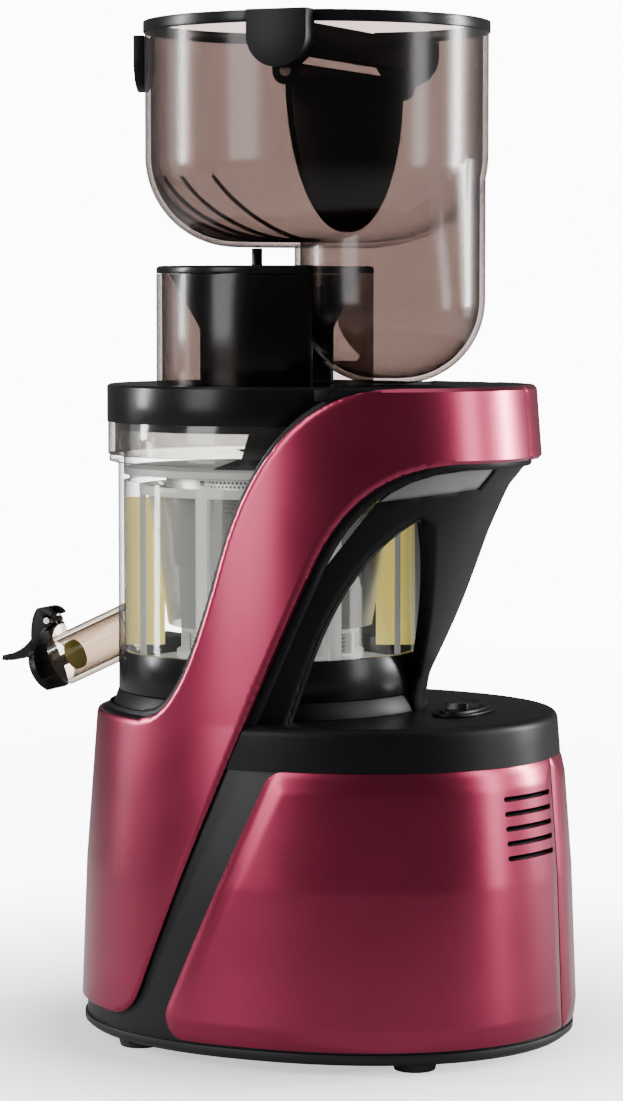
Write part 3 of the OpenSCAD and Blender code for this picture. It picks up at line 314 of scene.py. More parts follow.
def rounded(profile: Sequence[Point2], radii: Sequence[float], steps: int = 4) -> list[Point2]:
    """Rounds the corners of a closed outline.

    Args:
        profile: The outline's corners.
        radii: One rounding radius for each corner, 0 for a sharp one.
        steps: Faces across each rounding.

    Returns:
        The outline with its roundings as extra points.
    """
    out: list[Point2] = []
    count = len(profile)
    for i, radius in enumerate(radii):
        here = Vector(profile[i])
        if radius <= 0:
            out.append((here.x, here.y))
            continue
        before = (Vector(profile[i - 1]) - here).normalized()
        after = (Vector(profile[(i + 1) % count]) - here).normalized()
        half = math.acos(max(-1.0, min(1.0, before.dot(after)))) / 2
        reach = radius / math.tan(half)
        start, end = here + before * reach, here + after * reach
        middle = here + (before + after).normalized() * radius / math.sin(half)
        for k in range(steps + 1):
            arm = (start - middle).lerp(end - middle, k / steps).normalized() * radius
            out.append((middle.x + arm.x, middle.y + arm.y))
    return out


def block(low: Sequence[float], high: Sequence[float]) -> Piece:
    """A box between two corners.

    Args:
        low: The lowest corner.
        high: The highest corner.

    Returns:
        The solid.
    """
    middle = [(a + b) / 2 for a, b in zip(low, high)]
    bpy.ops.object.select_all(action="DESELECT")
    bpy.ops.mesh.primitive_cube_add(size=1.0, location=middle)
    obj = bpy.context.active_object
    obj.scale = [b - a for a, b in zip(low, high)]
    return settle(obj)


def rod(radius: float, low: float, high: float, place: Sequence[float],
        turn: Sequence[float] = (0.0, 0.0, 0.0), sides: int = 96) -> Piece:
    """A round bar, upright until it is turned.

    Args:
        radius: Its radius.
        low: Where it starts along its axis, from its place.
        high: Where it ends.
        place: Its place.
        turn: How it is turned about its place.
        sides: Faces round it.

    Returns:
        The solid.
    """
    bpy.ops.object.select_all(action="DESELECT")
    bpy.ops.mesh.primitive_cylinder_add(vertices=sides, radius=radius, depth=high - low,
                                        location=(0.0, 0.0, (low + high) / 2))
    obj = settle(bpy.context.active_object)
    obj.location, obj.rotation_euler = place, turn
    return settle(obj)


def bead(path: Sequence[Vector], radius: float) -> Piece:
    """A round bead of plastic along a path, closed at both ends.

    Args:
        path: Points along its middle.
        radius: Half its thickness.

    Returns:
        The closed solid.
    """
    bpy.ops.object.select_all(action="DESELECT")
    bpy.ops.curve.primitive_bezier_curve_add()
    curve = bpy.context.active_object.data
    curve.splines.clear()
    spline = curve.splines.new("POLY")
    spline.points.add(len(path) - 1)
    for point, place in zip(spline.points, path):
        point.co = (*place, 1.0)
    curve.bevel_depth = radius
    curve.bevel_resolution = 2
    curve.use_fill_caps = True
    bpy.ops.object.convert(target="MESH")
    obj = bpy.context.active_object
    with edit_mode(obj):
        tidy_normals()
    return smooth(obj, 50)


def bezier(a: Point2, b: Point2, c: Point2, d: Point2, steps: int = 8) -> list[Point2]:
    """Points along a cubic curve.

    Args:
        a: Its start.
        b: The handle at its start.
        c: The handle at its end.
        d: Its end.
        steps: Stretches along it.

    Returns:
        The points, with both ends.
    """
    out = []
    for i in range(steps + 1):
        t = i / steps
        s = 1 - t
        weights = (s ** 3, 3 * s * s * t, 3 * s * t * t, t ** 3)
        out.append(tuple(sum(w * p[k] for w, p in zip(weights, (a, b, c, d))) for k in (0, 1)))
    return out


def metres(points: Iterable[Point2]) -> list[Point2]:
    """Turns points in millimetres into metres."""
    return [(x * MM, y * MM) for x, y in points]


def grown(outline: Sequence[Point2], amount: float) -> list[Point2]:
    """Moves an outline's corners outwards along their normals.

    Args:
        outline: The corners in order.
        amount: How far each edge moves.

    Returns:
        The moved corners.
    """
    count = len(outline)
    area = sum(outline[i - 1][0] * outline[i][1] - outline[i][0] * outline[i - 1][1]
               for i in range(count))
    turn = 1.0 if area > 0 else -1.0
    out = []
    for i in range(count):
        before, here, after = (Vector(outline[(i + k) % count]) for k in (-1, 0, 1))
        first, second = (here - before), (after - here)
        if first.length < 1e-7 or second.length < 1e-7:
            continue
        n1 = Vector((first.y, -first.x)).normalized()
        n2 = Vector((second.y, -second.x)).normalized()
        both = n1 + n2
        if both.length < 0.3:
            both = n1
        step = both.normalized() * amount * turn / max(0.5, both.normalized().dot(n1))
        out.append((here.x + step.x, here.y + step.y))
    return out


def outline_depth(ys: np.ndarray, zs: np.ndarray, outline: Sequence[Point2]) -> np.ndarray:
    """How far points lie inside a closed outline, negative outside.

    Args:
        ys: The points' first coordinates.
        zs: The points' heights.
        outline: The outline's corners.

    Returns:
        Each point's distance to the nearest edge.
    """
    nearest = np.full(ys.shape, 1e9)
    inside = np.zeros(ys.shape, dtype=bool)
    for i, (by, bz) in enumerate(outline):
        ay, az = outline[i - 1]
        dy, dz = by - ay, bz - az
        length = dy * dy + dz * dz
        if length < 1e-14:
            continue
        t = np.clip(((ys - ay) * dy + (zs - az) * dz) / length, 0.0, 1.0)
        nearest = np.minimum(nearest, np.hypot(ys - ay - t * dy, zs - az - t * dz))
        if abs(dz) > 1e-12:
            inside ^= ((az > zs) != (bz > zs)) & (ys < ay + (zs - az) * dy / dz)
    return np.where(inside, nearest, -nearest)


def side_depth(places: np.ndarray, outline: Sequence[Point2]) -> np.ndarray:
    """How far points lie inside an outline seen from the side, negative outside."""
    return outline_depth(places[:, 1] - BODY_Y, places[:, 2], outline)


def rolled(depth: np.ndarray, radius: float) -> np.ndarray:
    """How far a rolled edge drops at a distance from the edge."""
    reach = radius - np.clip(depth, 0.0, radius)
    return radius - np.sqrt(np.maximum(0.0, radius * radius - reach * reach))


# ---------- shaders ----------


def operator(operation: str, swapped: bool = False) -> Callable[["Value", object], "Value"]:
    """Makes one of the operators of Value.

    Args:
        operation: The Math node's operation.
        swapped: Whether the other number comes first.

    Returns:
        The operator.
    """
    def method(value: "Value", other: object) -> "Value":
        """Adds the operation's Math node."""
        return value.maths(operation, *((other, value) if swapped else (value, other)))

    return method


class Value:
    """A number that varies over a surface, as a socket with the usual operators."""

    __add__ = __radd__ = operator("ADD")
    __mul__ = __rmul__ = operator("MULTIPLY")
    __sub__, __rsub__ = operator("SUBTRACT"), operator("SUBTRACT", swapped=True)
    __truediv__ = operator("DIVIDE")
    __lt__, __gt__ = operator("LESS_THAN"), operator("GREATER_THAN")

    def __init__(self, shader: "Shader", socket: Socket) -> None:
        """Wraps a socket of a shader's tree."""
        self.shader = shader
        self.socket = socket

    def maths(self, operation: str, first: object, second: object) -> "Value":
        """Adds one Math node.

        Args:
            operation: The Math node's operation.
            first: Its first input.
            second: Its second input, or None.

        Returns:
            The node's result.
        """
        given = {k: value for k, value in enumerate((first, second)) if value is not None}
        node = self.shader.node("ShaderNodeMath", {"operation": operation}, given)
        return Value(self.shader, node.outputs[0])

    def function(self, operation: str, other: object = None) -> "Value":
        """Any other Math operation on this value."""
        return self.maths(operation, self, other)


class Shader:
    """One material's node tree under construction."""

    def __init__(self, name: str) -> None:
        """Starts an empty material.

        Args:
            name: The material's name.
        """
        self.material = bpy.data.materials.new(name)
        self.material.use_nodes = True
        self.tree = self.material.node_tree
        self.tree.nodes.clear()
        self.place = self.node("ShaderNodeTexCoord").outputs["Object"]

    def node(self, kind: str, settings: dict | None = None,
             inputs: dict | None = None) -> bpy.types.Node:
        """Adds a node.

        Args:
            kind: The node's type.
            settings: Its own settings, set first.
            inputs: Values or links for its sockets, by name or number.

        Returns:
            The node.
        """
        node = self.tree.nodes.new(kind)
        for name, value in (settings or {}).items():
            setattr(node, name, value)
        for name, value in (inputs or {}).items():
            source = value.socket if isinstance(value, Value) else value
            if isinstance(source, Socket):
                self.tree.links.new(source, node.inputs[name])
            else:
                node.inputs[name].default_value = source
        return node

    def axes(self) -> tuple[Value, Value, Value]:
        """The surface's place as three values."""
        split = self.node("ShaderNodeSeparateXYZ", {}, {"Vector": self.place})
        return tuple(Value(self, socket) for socket in split.outputs)

    def noise(self, scale: float, detail: float = 2.0,
              stretch: Sequence[float] = (1.0, 1.0, 1.0)) -> Value:
        """Noise over the surface.

        Args:
            scale: Waves per metre.
            detail: How many finer layers it has.
            stretch: How much each axis is scaled first.

        Returns:
            The noise, about 0.5 on average.
        """
        mapping = self.node("ShaderNodeMapping", {}, {"Vector": self.place, "Scale": stretch})
        texture = self.node("ShaderNodeTexNoise", {}, {
            "Vector": mapping.outputs[0], "Scale": scale, "Detail": detail})
        return Value(self, texture.outputs[0])

    def ramp(self, value: Value, low: float, high: float, to_low: float, to_high: float) -> Value:
        """Maps a value from one range to another, held at its ends."""
        node = self.node("ShaderNodeMapRange", {"clamp": True}, {
            "Value": value, "From Min": low, "From Max": high,
            "To Min": to_low, "To Max": to_high})
        return Value(self, node.outputs[0])

    def uneven(self, noise: Value, low: float, high: float) -> Value:
        """Spreads noise between two numbers."""
        return self.ramp(noise, 0.3, 0.7, low, high)

    def tone(self, noise: Value, spread: float = 0.15) -> Value:
        """Spreads noise between 0 and 1, within a spread round its middle."""
        return self.ramp(noise, 0.5 - spread, 0.5 + spread, 0.0, 1.0)

    def blend(self, factor: Value, first: Colour, second: Colour) -> Socket:
        """Mixes two colours by a value, which is 0 for the first and 1 for the second."""
        return self.node("ShaderNodeMix", {"data_type": "RGBA"}, {
            0: factor, 6: (*first, 1.0), 7: (*second, 1.0)}).outputs[2]

    def mixed(self, factor: Value, first: Socket, second: Socket) -> Socket:
        """Mixes two shaders by a value, which is 0 for the first and 1 for the second."""
        return self.node("ShaderNodeMixShader", {}, {0: factor, 1: first, 2: second}).outputs[0]

    def bump(self, height: Value, strength: float, distance: float) -> Socket:
        """A surface normal from a height, with its strength and how high a height of 1 is."""
        return self.node("ShaderNodeBump", {}, {
            "Height": height, "Strength": strength, "Distance": distance}).outputs[0]

    def principled(self, **inputs: object) -> Socket:
        """A Principled shader, with underscores for the spaces in its sockets' names."""
        return self.node("ShaderNodeBsdfPrincipled", {}, {
            name.replace("_", " "): value for name, value in inputs.items()}).outputs[0]

    def finish(self, surface: Socket) -> bpy.types.Material:
        """Ends the material.

        Args:
            surface: Its surface's shader.

        Returns:
            The material.
        """
        self.node("ShaderNodeOutputMaterial", {}, {"Surface": surface})
        return self.material


def scaled(colour: Colour, factor: float) -> Colour:
    """A colour made lighter or darker, no brighter than white."""
    return tuple(min(1.0, factor * channel) for channel in colour)


@dataclass(frozen=True)
class Lacquer:
    """A metallic paint under a clear coat."""

    name: str
    light: Colour
    deep: Colour
    metallic: float
    roughness: float
    flake_scale: float = 5200.0
    cloud_scale: float = 16.0
    peel_scale: float = 420.0
    peel_strength: float = 0.012
    unevenness: float = 0.03

    def build(self) -> bpy.types.Material:
        """Makes the paint, with fine flakes and a slight orange peel.

        Returns:
            The material.
        """
        shader = Shader(self.name)
        flakes = shader.noise(self.flake_scale, 1.0)
        cloud = shader.noise(self.cloud_scale, 2.0)
        peel = shader.noise(self.peel_scale, 1.0)
        tone = shader.tone(flakes * 0.55 + cloud * 0.45, 0.18)
        return shader.finish(shader.principled(
            Base_Color=shader.blend(tone, self.deep, self.light),
            Metallic=self.metallic,
            Roughness=shader.uneven(cloud, self.roughness - self.unevenness,
                                    self.roughness + self.unevenness),
            Coat_Weight=0.35, Coat_Roughness=0.2, Coat_IOR=1.4,
            Normal=shader.bump(peel, self.peel_strength, 0.4 * MM)))


@dataclass(frozen=True)
class Moulded:
    """An opaque moulded plastic or rubber."""

    name: str
    colour: Colour
    roughness: float
    grain: float = 900.0
    depth: float = 0.06 * MM
    sheen: float = 0.5
    # Strength of a painted glow: emission that brightens the plastic though it is no lamp.
    painted_glow: float = 0.0
    cloud_scale: float = 22.0
    unevenness: float = 0.04

    def build(self) -> bpy.types.Material:
        """Makes the plastic, with a moulded grain and a painted glow, an emission that brightens it
        though it is no lamp.

        Returns:
            The material.
        """
        shader = Shader(self.name)
        grain = shader.noise(self.grain, 2.0)
        cloud = shader.noise(self.cloud_scale, 3.0)
        light = scaled(self.colour, 1.12)
        return shader.finish(shader.principled(
            Base_Color=shader.blend(shader.tone(cloud * 0.7 + grain * 0.3),
                                    scaled(self.colour, 0.86), light),
            Roughness=shader.uneven(cloud, max(0.02, self.roughness - self.unevenness),
                                    self.roughness + self.unevenness),
            Specular_IOR_Level=self.sheen,
            # The emission paints a glow of light on the plastic, though it is no lamp.
            Emission_Color=(*light, 1.0), Emission_Strength=self.painted_glow,
            Normal=shader.bump(grain, 0.25, self.depth)))


@dataclass(frozen=True)
class ClearPlastic:
    """A thin see-through plastic: a tinted film, darker at its edges, under a mirroring skin."""

    name: str
    tint: Colour
    body: Colour
    film: float
    edge: float
    edge_power: float
    mirror: float
    roughness: float
    mirror_power: float = 5.0
    haze_scale: float = 9.0

    def rim(self, facing: Value, power: float, most: float, least: float) -> Value:
        """A share that grows from least where facing is 0 to least plus most where it is 1."""
        return (facing.function("POWER", power) * most + least).function("MINIMUM", 1.0)

    def build(self) -> bpy.types.Material:
        """Makes the plastic, which lets light through unbent.

        Returns:
            The material.
        """
        shader = Shader(self.name)
        haze = shader.noise(self.haze_scale, 3.0)
        weight = shader.node("ShaderNodeLayerWeight", {}, {"Blend": 0.5})
        facing = Value(shader, weight.outputs["Facing"])
        clear = shader.node("ShaderNodeBsdfTransparent", {}, {"Color": (*self.tint, 1.0)})
        body = shader.principled(
            Base_Color=shader.blend(haze, self.body, scaled(self.body, 0.85)),
            Roughness=0.5, Specular_IOR_Level=0.0)
        skin = shader.principled(
            Base_Color=(0.9, 0.9, 0.9, 1.0), Metallic=1.0,
            Roughness=shader.uneven(haze, self.roughness, self.roughness + 0.04))
        share = self.rim(facing, self.edge_power, self.edge, self.film)
        tinted = shader.mixed(share, clear.outputs[0], body)
        mirror = self.rim(facing, self.mirror_power, 0.9, self.mirror)
        return shader.finish(shader.mixed(mirror, tinted, skin))


@dataclass(frozen=True)
class Metal:
    """A bare metal with fine turning or brushing marks."""

    name: str
    colour: Colour
    roughness: float
    stretch: tuple[float, float, float] = (1.0, 1.0, 14.0)
    mark_scale: float = 260.0
    stain_scale: float = 30.0

    def build(self) -> bpy.types.Material:
        """Makes the metal, brushed round the upright axis.

        Returns:
            The material.
        """
        shader = Shader(self.name)
        marks = shader.noise(self.mark_scale, 3.0, self.stretch)
        stain = shader.noise(self.stain_scale, 2.0)
        return shader.finish(shader.principled(
            Base_Color=shader.blend(shader.tone(stain * 0.5 + marks * 0.5),
                                    scaled(self.colour, 0.8), self.colour),
            Metallic=1.0,
            Roughness=shader.uneven(marks, self.roughness - 0.06, self.roughness + 0.08),
            Normal=shader.bump(marks, 0.12, 0.04 * MM)))


@dataclass(frozen=True)
class Perforated:
    """A steel sheet round the drum's axis, with fields of fine holes between columns of slots."""

    name: str
    steel: Colour = (0.80, 0.79, 0.76)
    dark: Colour = (0.10, 0.10, 0.10)
    pitch: float = 1.9 * MM
    hole: float = 0.3
    hole_edge: float = 0.05
    radius: float = 46.0 * MM
    fields: int = 4
    start: float = -0.21
    reach: float = 1.0
    slot_back: float = 0.11
    slot_width: float = 0.055
    slot_pitch: float = 4.2 * MM
    slot_share: float = 0.55
    mark_scale: float = 320.0

    def build(self) -> bpy.types.Material:
        """Makes the sheet, with its holes as dark dots in a staggered grid.

        Returns:
            The material.
        """
        shader = Shader(self.name)
        x, y, z = shader.axes()
        angle = (y - DRUM_Y).function("ARCTAN2", x)
        up = z / self.pitch
        shift = up.function("FLOOR").function("MODULO", 2.0) * 0.5
        across = (angle * (self.radius / self.pitch) + shift).function("FRACT") - 0.5
        along = up.function("FRACT") - 0.5
        distance = (across * across + along * along).function("SQRT")
        dots = shader.ramp(distance, self.hole - self.hole_edge, self.hole + self.hole_edge,
                           1.0, 0.0)
        turn = 2 * math.pi / self.fields
        slots_at = turn - self.slot_back
        place = ((angle - self.start) / turn).function("FRACT") * turn
        column = (place > slots_at) * (place < slots_at + self.slot_width)
        slot = column * ((z / self.slot_pitch).function("FRACT") < self.slot_share)
        hole = (dots * (place < self.reach)).function("MAXIMUM", slot)
        marks = shader.noise(self.mark_scale, 2.0)
        return shader.finish(shader.principled(
            Base_Color=shader.blend(hole, self.steel, self.dark),
            Metallic=0.75 - hole * 0.5,
            Roughness=shader.uneven(marks, 0.30, 0.44),
            Normal=shader.bump(1.0 - hole, 0.3, 0.3 * MM)))


class Look(Enum):
    """A material slot of the record, with a finish that is shown for it."""

    BURGUNDY = ("burgundy", Lacquer(
        "burgundy_lacquer", light=(0.300, 0.026, 0.070), deep=(0.200, 0.014, 0.042), metallic=0.92,
        roughness=0.30))
    MATTE = ("black_satin", Moulded(
        "matte_black_plastic", (0.004, 0.004, 0.005), 0.42, depth=0.04 * MM, sheen=0.11))
    GLOSS = ("black_gloss", Moulded(
        "gloss_black_plastic", (0.005, 0.005, 0.006), 0.24, grain=500.0, depth=0.01 * MM,
        sheen=0.17))
    DARK = ("dark_plastic", Moulded("dark_plastic", (0.010, 0.010, 0.011), 0.45, sheen=0.2))
    # The grey plastic gets a painted glow, an emission that brightens it though it is no lamp.
    GREY = ("grey_plastic", Moulded("grey_plastic", (0.44, 0.44, 0.43), 0.36, painted_glow=0.5))
    GRIP = ("grey_plastic", Moulded("grip_grey_plastic", (0.16, 0.16, 0.165), 0.40))
    RUBBER = ("rubber", Moulded(
        "black_rubber", (0.015, 0.015, 0.015), 0.75, grain=1500.0, depth=0.1 * MM, sheen=0.3))
    # The yellow silicone gets a painted glow, an emission that brightens it though it is no lamp.
    YELLOW = ("silicone_yellow", Moulded(
        "pale_yellow_silicone", (0.90, 0.75, 0.18), 0.42, grain=600.0, painted_glow=0.8))
    # The olive silicone gets a painted glow, an emission that brightens it though it is no lamp.
    OLIVE = ("silicone_olive", Moulded(
        "olive_silicone", (0.30, 0.30, 0.02), 0.35, grain=600.0, painted_glow=0.35))
    BOARD = ("board", Moulded("board_green", (0.02, 0.12, 0.06), 0.4))
    SMOKE = ("smoke_clear", ClearPlastic(
        "smoke_plastic", tint=(0.415, 0.370, 0.355), body=(0.020, 0.015, 0.013), film=0.02,
        edge=0.7, edge_power=3.5, mirror=0.022, roughness=0.17))
    SMOKE_RIB = ("smoke_clear", ClearPlastic(
        "smoke_rib_plastic", tint=(0.25, 0.20, 0.185), body=(0.015, 0.011, 0.010), film=0.25,
        edge=0.7, edge_power=2.0, mirror=0.03, roughness=0.1))
    CLEAR = ("clear", ClearPlastic(
        "clear_plastic", tint=(0.90, 0.90, 0.89), body=(0.12, 0.11, 0.11), film=0.015, edge=0.75,
        edge_power=3.0, mirror=0.03, roughness=0.06))
    COLLAR = ("clear", ClearPlastic(
        "collar_plastic", tint=(0.72, 0.71, 0.69), body=(0.07, 0.065, 0.06), film=0.10, edge=0.75,
        edge_power=2.5, mirror=0.04, roughness=0.08))
    FROSTED = ("grey_plastic", ClearPlastic(
        "frosted_plastic", tint=(0.74, 0.74, 0.72), body=(0.46, 0.46, 0.44), film=0.26, edge=0.5,
        edge_power=2.0, mirror=0.02, roughness=0.2))
    SPOUT = ("clear", ClearPlastic(
        "spout_plastic", tint=(0.70, 0.64, 0.58), body=(0.045, 0.028, 0.016), film=0.09, edge=1.0,
        edge_power=1.6, mirror=0.02, roughness=0.12))
    STEEL = ("steel", Metal("turned_steel", (0.62, 0.62, 0.63), 0.28))
    COPPER = ("copper", Metal("copper_winding", (0.72, 0.36, 0.20), 0.36, (8.0, 8.0, 1.0)))
    MESH = ("steel", Perforated("perforated_steel"))


# ---------- the machine ----------


class Workshop:
    """Places finished pieces in the frame."""

    def __init__(self, frame: dict) -> None:
        """Keeps the loaded frame's solids.

        Args:
            frame: The frame.
        """
        self.nodes = frame["nodes"]
        self.made: dict[Look, bpy.types.Material] = {}
        self.count = 0

    def material(self, look: Look) -> bpy.types.Material:
        """The material of a look, made on first use.

        Args:
            look: The look.

        Returns:
            Its finish's material.
        """
        _, finish = look.value
        if look not in self.made:
            self.made[look] = finish.build()
        return self.made[look]

    def place(self, obj: Piece, name: str, body: str, look: Look, *nodes: str) -> None:
        """Names a piece, dresses it and fixes it to its body.

        Args:
            obj: The finished mesh.
            name: The piece's name.
            body: The frame's body that it moves with.
            look: The look whose finish it gets.
            *nodes: The frame's solids that it stands for.
        """
        obj.name = obj.data.name = name
        settle(obj)
        obj.data.materials.clear()
        obj.data.materials.append(self.material(look))
        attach(obj, body)
        if nodes:
            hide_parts(*nodes)
        self.count += 1
        LOG.info("%s: %d faces, rides on %s", obj.name, len(obj.data.polygons), body)

    def dress(self, look: Look, *nodes: str) -> None:
        """Gives solids of the frame a finish.

        Args:
            look: The look whose finish they get.
            *nodes: The solids' names.
        """
        for node in nodes:
            for slot in self.nodes[node].material_slots:
                slot.material = self.material(look)

    def copied(self, node: str, width: float) -> Piece:
        """A copy of one of the frame's solids with its edges rounded.

        Args:
            node: The solid's name.
            width: How far the roundings reach.

        Returns:
            The copy.
        """
        obj = bpy.data.objects.new(node, self.nodes[node].data.copy())
        bpy.context.scene.collection.objects.link(obj)
        with edit_mode(obj):
            bpy.ops.mesh.customdata_custom_splitnormals_clear()
            bpy.ops.mesh.remove_doubles(threshold=2 * SAME_PLACE)
            bpy.ops.mesh.dissolve_limited(angle_limit=math.radians(0.4))
        return soften(obj, width)

    def place_copies(self, ending: str, *copies: tuple[str, str, Look, float]) -> None:
        """Places copies of the frame's solids.

        Args:
            ending: What is added to a solid's name for its copy's.
            *copies: Each solid, its body, its look and its roundings in millimetres.
        """
        for node, body, look, width in copies:
            self.place(self.copied(node, width * MM), f"{node}_{ending}", body, look, node)


@dataclass
class OvalBody:
    """The oval form that the casing, the deck and the arch are cut from."""

    foot: Point2 = (94.0 * MM, 115.0 * MM)
    deck: Point2 = (87.5 * MM, 107.0 * MM)
    top: Point2 = (82.0 * MM, 95.0 * MM)
    bulge: float = 1.3 * MM
    power: float = 2.15
    foot_z: float = 9.0 * MM
    deck_z: float = 150.0 * MM
    top_z: float = 297.0 * MM
    columns: int = 240
    wall_inset: float = 4.6 * MM
    hug_y: float = -DRUM_AHEAD
    hug_radius: float = 75.0 * MM
    band_length: float = 93.1 * MM
    share_heights: tuple[float, ...] = (0.150, 0.155, 0.168, 0.195, 0.231, 0.251, 0.258, 0.264)
    shares: tuple[float, ...] = (0.0, 0.0, 0.05, 0.28, 0.57, 0.77, 0.9, 1.0)
    share_blur: int = 3

    def half(self, z: np.ndarray) -> tuple[np.ndarray, np.ndarray]:
        """The body's size at heights.

        Args:
            z: The heights.

        Returns:
            The half widths and the half lengths.
        """
        stops = (self.foot_z, (self.foot_z + self.deck_z) / 2, self.deck_z, self.top_z)
        return tuple(
            np.interp(z, stops, (foot, (foot + deck) / 2 + self.bulge, deck, top))
            for foot, deck, top in zip(self.foot, self.deck, self.top))

    def oval(self, angle: np.ndarray, power: np.ndarray | float) -> tuple[np.ndarray, np.ndarray]:
        """Places on a rounded square of half width 1.

        Args:
            angle: Their directions from the middle.
            power: How square it is, 2 for a circle.

        Returns:
            Their X and their Y.
        """
        c, s = np.cos(angle), np.sin(angle)
        bend = 2 / power
        return np.sign(c) * np.abs(c) ** bend, np.sign(s) * np.abs(s) ** bend

    def places(self, z: np.ndarray, inset: np.ndarray, angle: np.ndarray) -> np.ndarray:
        """Points on the body's form.

        Args:
            z: Their heights.
            inset: How far in they lie.
            angle: Their directions from the middle.

        Returns:
            Rows of X, Y and Z.
        """
        width, length = self.half(z)
        x, y = self.oval(angle, self.power)
        return np.stack([x * (width - inset), y * (length - inset) + BODY_Y, z], axis=1)

    def cradle(self, z: np.ndarray, inset: np.ndarray, angle: np.ndarray) -> np.ndarray:
        """Points on the wall behind the drum.

        The wall hugs the drum at the deck and spreads to the body's outline at the band.

        Args:
            z: Their heights.
            inset: How far in they lie.
            angle: Their directions from the middle.

        Returns:
            Rows of X, Y and Z.
        """
        blur = np.arange(-self.share_blur, self.share_blur + 1) * MM
        share = np.mean([np.interp(z + shift, self.share_heights, self.shares) for shift in blur],
                        axis=0)
        width, _ = self.half(z)
        length = self.hug_radius * (1 - share) + self.band_length * share
        x, y = self.oval(angle, 2 + share * (self.power - 2))
        x = x * (width - self.wall_inset - inset)
        y = y * (length - inset) + self.hug_y * (1 - share)
        return np.stack([x, y + BODY_Y, z], axis=1)

    def solid(self, rings: Sequence[Point2], columns: int = 0,
              relief: Relief | None = None, form: Callable[..., np.ndarray] | None = None) -> Piece:
        """A closed solid through oval rings, wrapped from a flat grid.

        Args:
            rings: The height and the inset of each ring, from below.
            columns: Faces round the body, or 0 for the usual number.
            relief: Gives how much further in each of its points lies.
            form: Gives the points at heights, insets and angles, the body's own by default.

        Returns:
            The solid.
        """
        columns = columns or self.columns
        rows = len(rings) - 1
        bpy.ops.object.select_all(action="DESELECT")
        bpy.ops.mesh.primitive_grid_add(x_subdivisions=columns, y_subdivisions=rows, size=2.0)
        obj = bpy.context.active_object
        flat = np.empty(len(obj.data.vertices) * 3)
        obj.data.vertices.foreach_get("co", flat)
        flat = flat.reshape(-1, 3)
        column = np.rint((flat[:, 0] + 1) / 2 * columns).astype(int) % columns
        row = np.rint((flat[:, 1] + 1) / 2 * rows).astype(int)
        heights, insets = np.array(rings).T
        angle = 2 * np.pi * column / columns
        form = form or self.places
        places = form(heights[row], insets[row], angle)
        if relief is not None:
            places = form(heights[row], insets[row] + relief(places), angle)
        obj.data.vertices.foreach_set("co", places.ravel())
        obj.data.update()
        with edit_mode(obj):
            bpy.ops.mesh.remove_doubles(threshold=SAME_PLACE)
            bpy.ops.mesh.fill_holes(sides=0)
            bpy.ops.mesh.select_all(action="SELECT")
            bpy.ops.mesh.normals_make_consistent(inside=False)
        return obj

    def rows(self, low: float, high: float, inset: float, step: float = 4.0 * MM) -> list[Point2]:
        """Rings of one inset at even heights, about a step apart."""
        count = max(1, round((high - low) / step))
        return [(low + (high - low) * k / count, inset) for k in range(count + 1)]

    def hollowed(self, solid: Piece, low: float, high: float, inset: float,
                 past: float = 10.0 * MM) -> Piece:
        """Cuts the room inside an inset out of a solid between two heights, and past them."""
        rings = [(low - past, inset)] + self.rows(low, high, inset) + [(high + past, inset)]
        return combine(solid, self.solid(rings), Cut.CUT)

    def half_block(self, side: Side, gap: float) -> Piece:
        """A box that holds one side of the machine, away from the middle by a gap."""
        low, high = (gap, FAR) if side is Side.RIGHT else (-FAR, -gap)
        return block((low, -FAR, -20.0 * MM), (high, FAR, 2 * FAR))


@dataclass
class Outlines:
    """The casing's outlines seen from the side, as depth from the body's middle and height.

    The heights are in millimetres, and the methods give outlines in metres.
    """

    deck_z: float = 150.0
    top_z: float = 297.0
    band_z: float = 264.0
    column_top: float = 149.0
    ribbon_foot: float = 16.0
    panel_top: float = 131.0
    panel_foot: float = 10.0
    corner: float = 10.0
    grip_corner: float = 3.0
    far: float = 300.0

    def ribbon(self) -> list[Point2]:
        """The burgundy ribbon that climbs from the front foot to the arch.

        Returns:
            The outline.
        """
        upper = [(-self.far, self.column_top), (-62, self.column_top)]
        upper += bezier((-60, 150), (-40, 150), (-28, 185), (-17, 222), 12)
        upper += bezier((-17, 222), (-6.5, 257), (16, 297), (60, 297), 16)[1:]
        upper += [(self.far, self.top_z)]
        lower = [(self.far, self.band_z), (80, self.band_z)]
        lower += bezier((80, 264), (50, 262), (33, 240), (23, 215), 16)[1:]
        lower += bezier((-57, 30), (-62, 18), (-70, 16), (-80, 16), 8)
        lower += [(-self.far, self.ribbon_foot)]
        return metres(upper + lower)

    def web(self) -> list[Point2]:
        """The part of the wall behind the drum that is kept."""
        return metres([(-6, 150), (20, 210), (50, 250), (60, 266), (self.far, 266),
                       (self.far, 150)])

    def window(self) -> list[Point2]:
        """The tall window in each side of the wall.

        Returns:
            The outline.
        """
        front = bezier((9, 149), (18.5, 183), (34, 222), (60, 239), 20)
        top = bezier((60, 239), (63.5, 241), (66, 236), (65.5, 226), 8)
        return metres(front + top[1:] + [(65.5, 149)])

    def spine(self) -> list[Point2]:
        """The strip that stays between the windows, seen from behind."""
        right = [(6, 149), (6, 165), (38, 235), (38, 268)]
        return metres(right + [(-x, z) for x, z in reversed(right)])

    def grip(self) -> list[Point2]:
        """The pocket for the finger grip."""
        corners = metres([(46, 247), (83, 252), (90, 266), (46, 266)])
        return rounded(corners, [self.grip_corner * MM] * 4)

    def panel(self) -> list[Point2]:
        """The side panel, with its front corners rounded."""
        corners = metres([(8, self.panel_top), (-48, self.panel_foot),
                          (self.far, self.panel_foot), (self.far, self.panel_top)])
        return rounded(corners, [self.corner * MM] * 2 + [0, 0], 8)


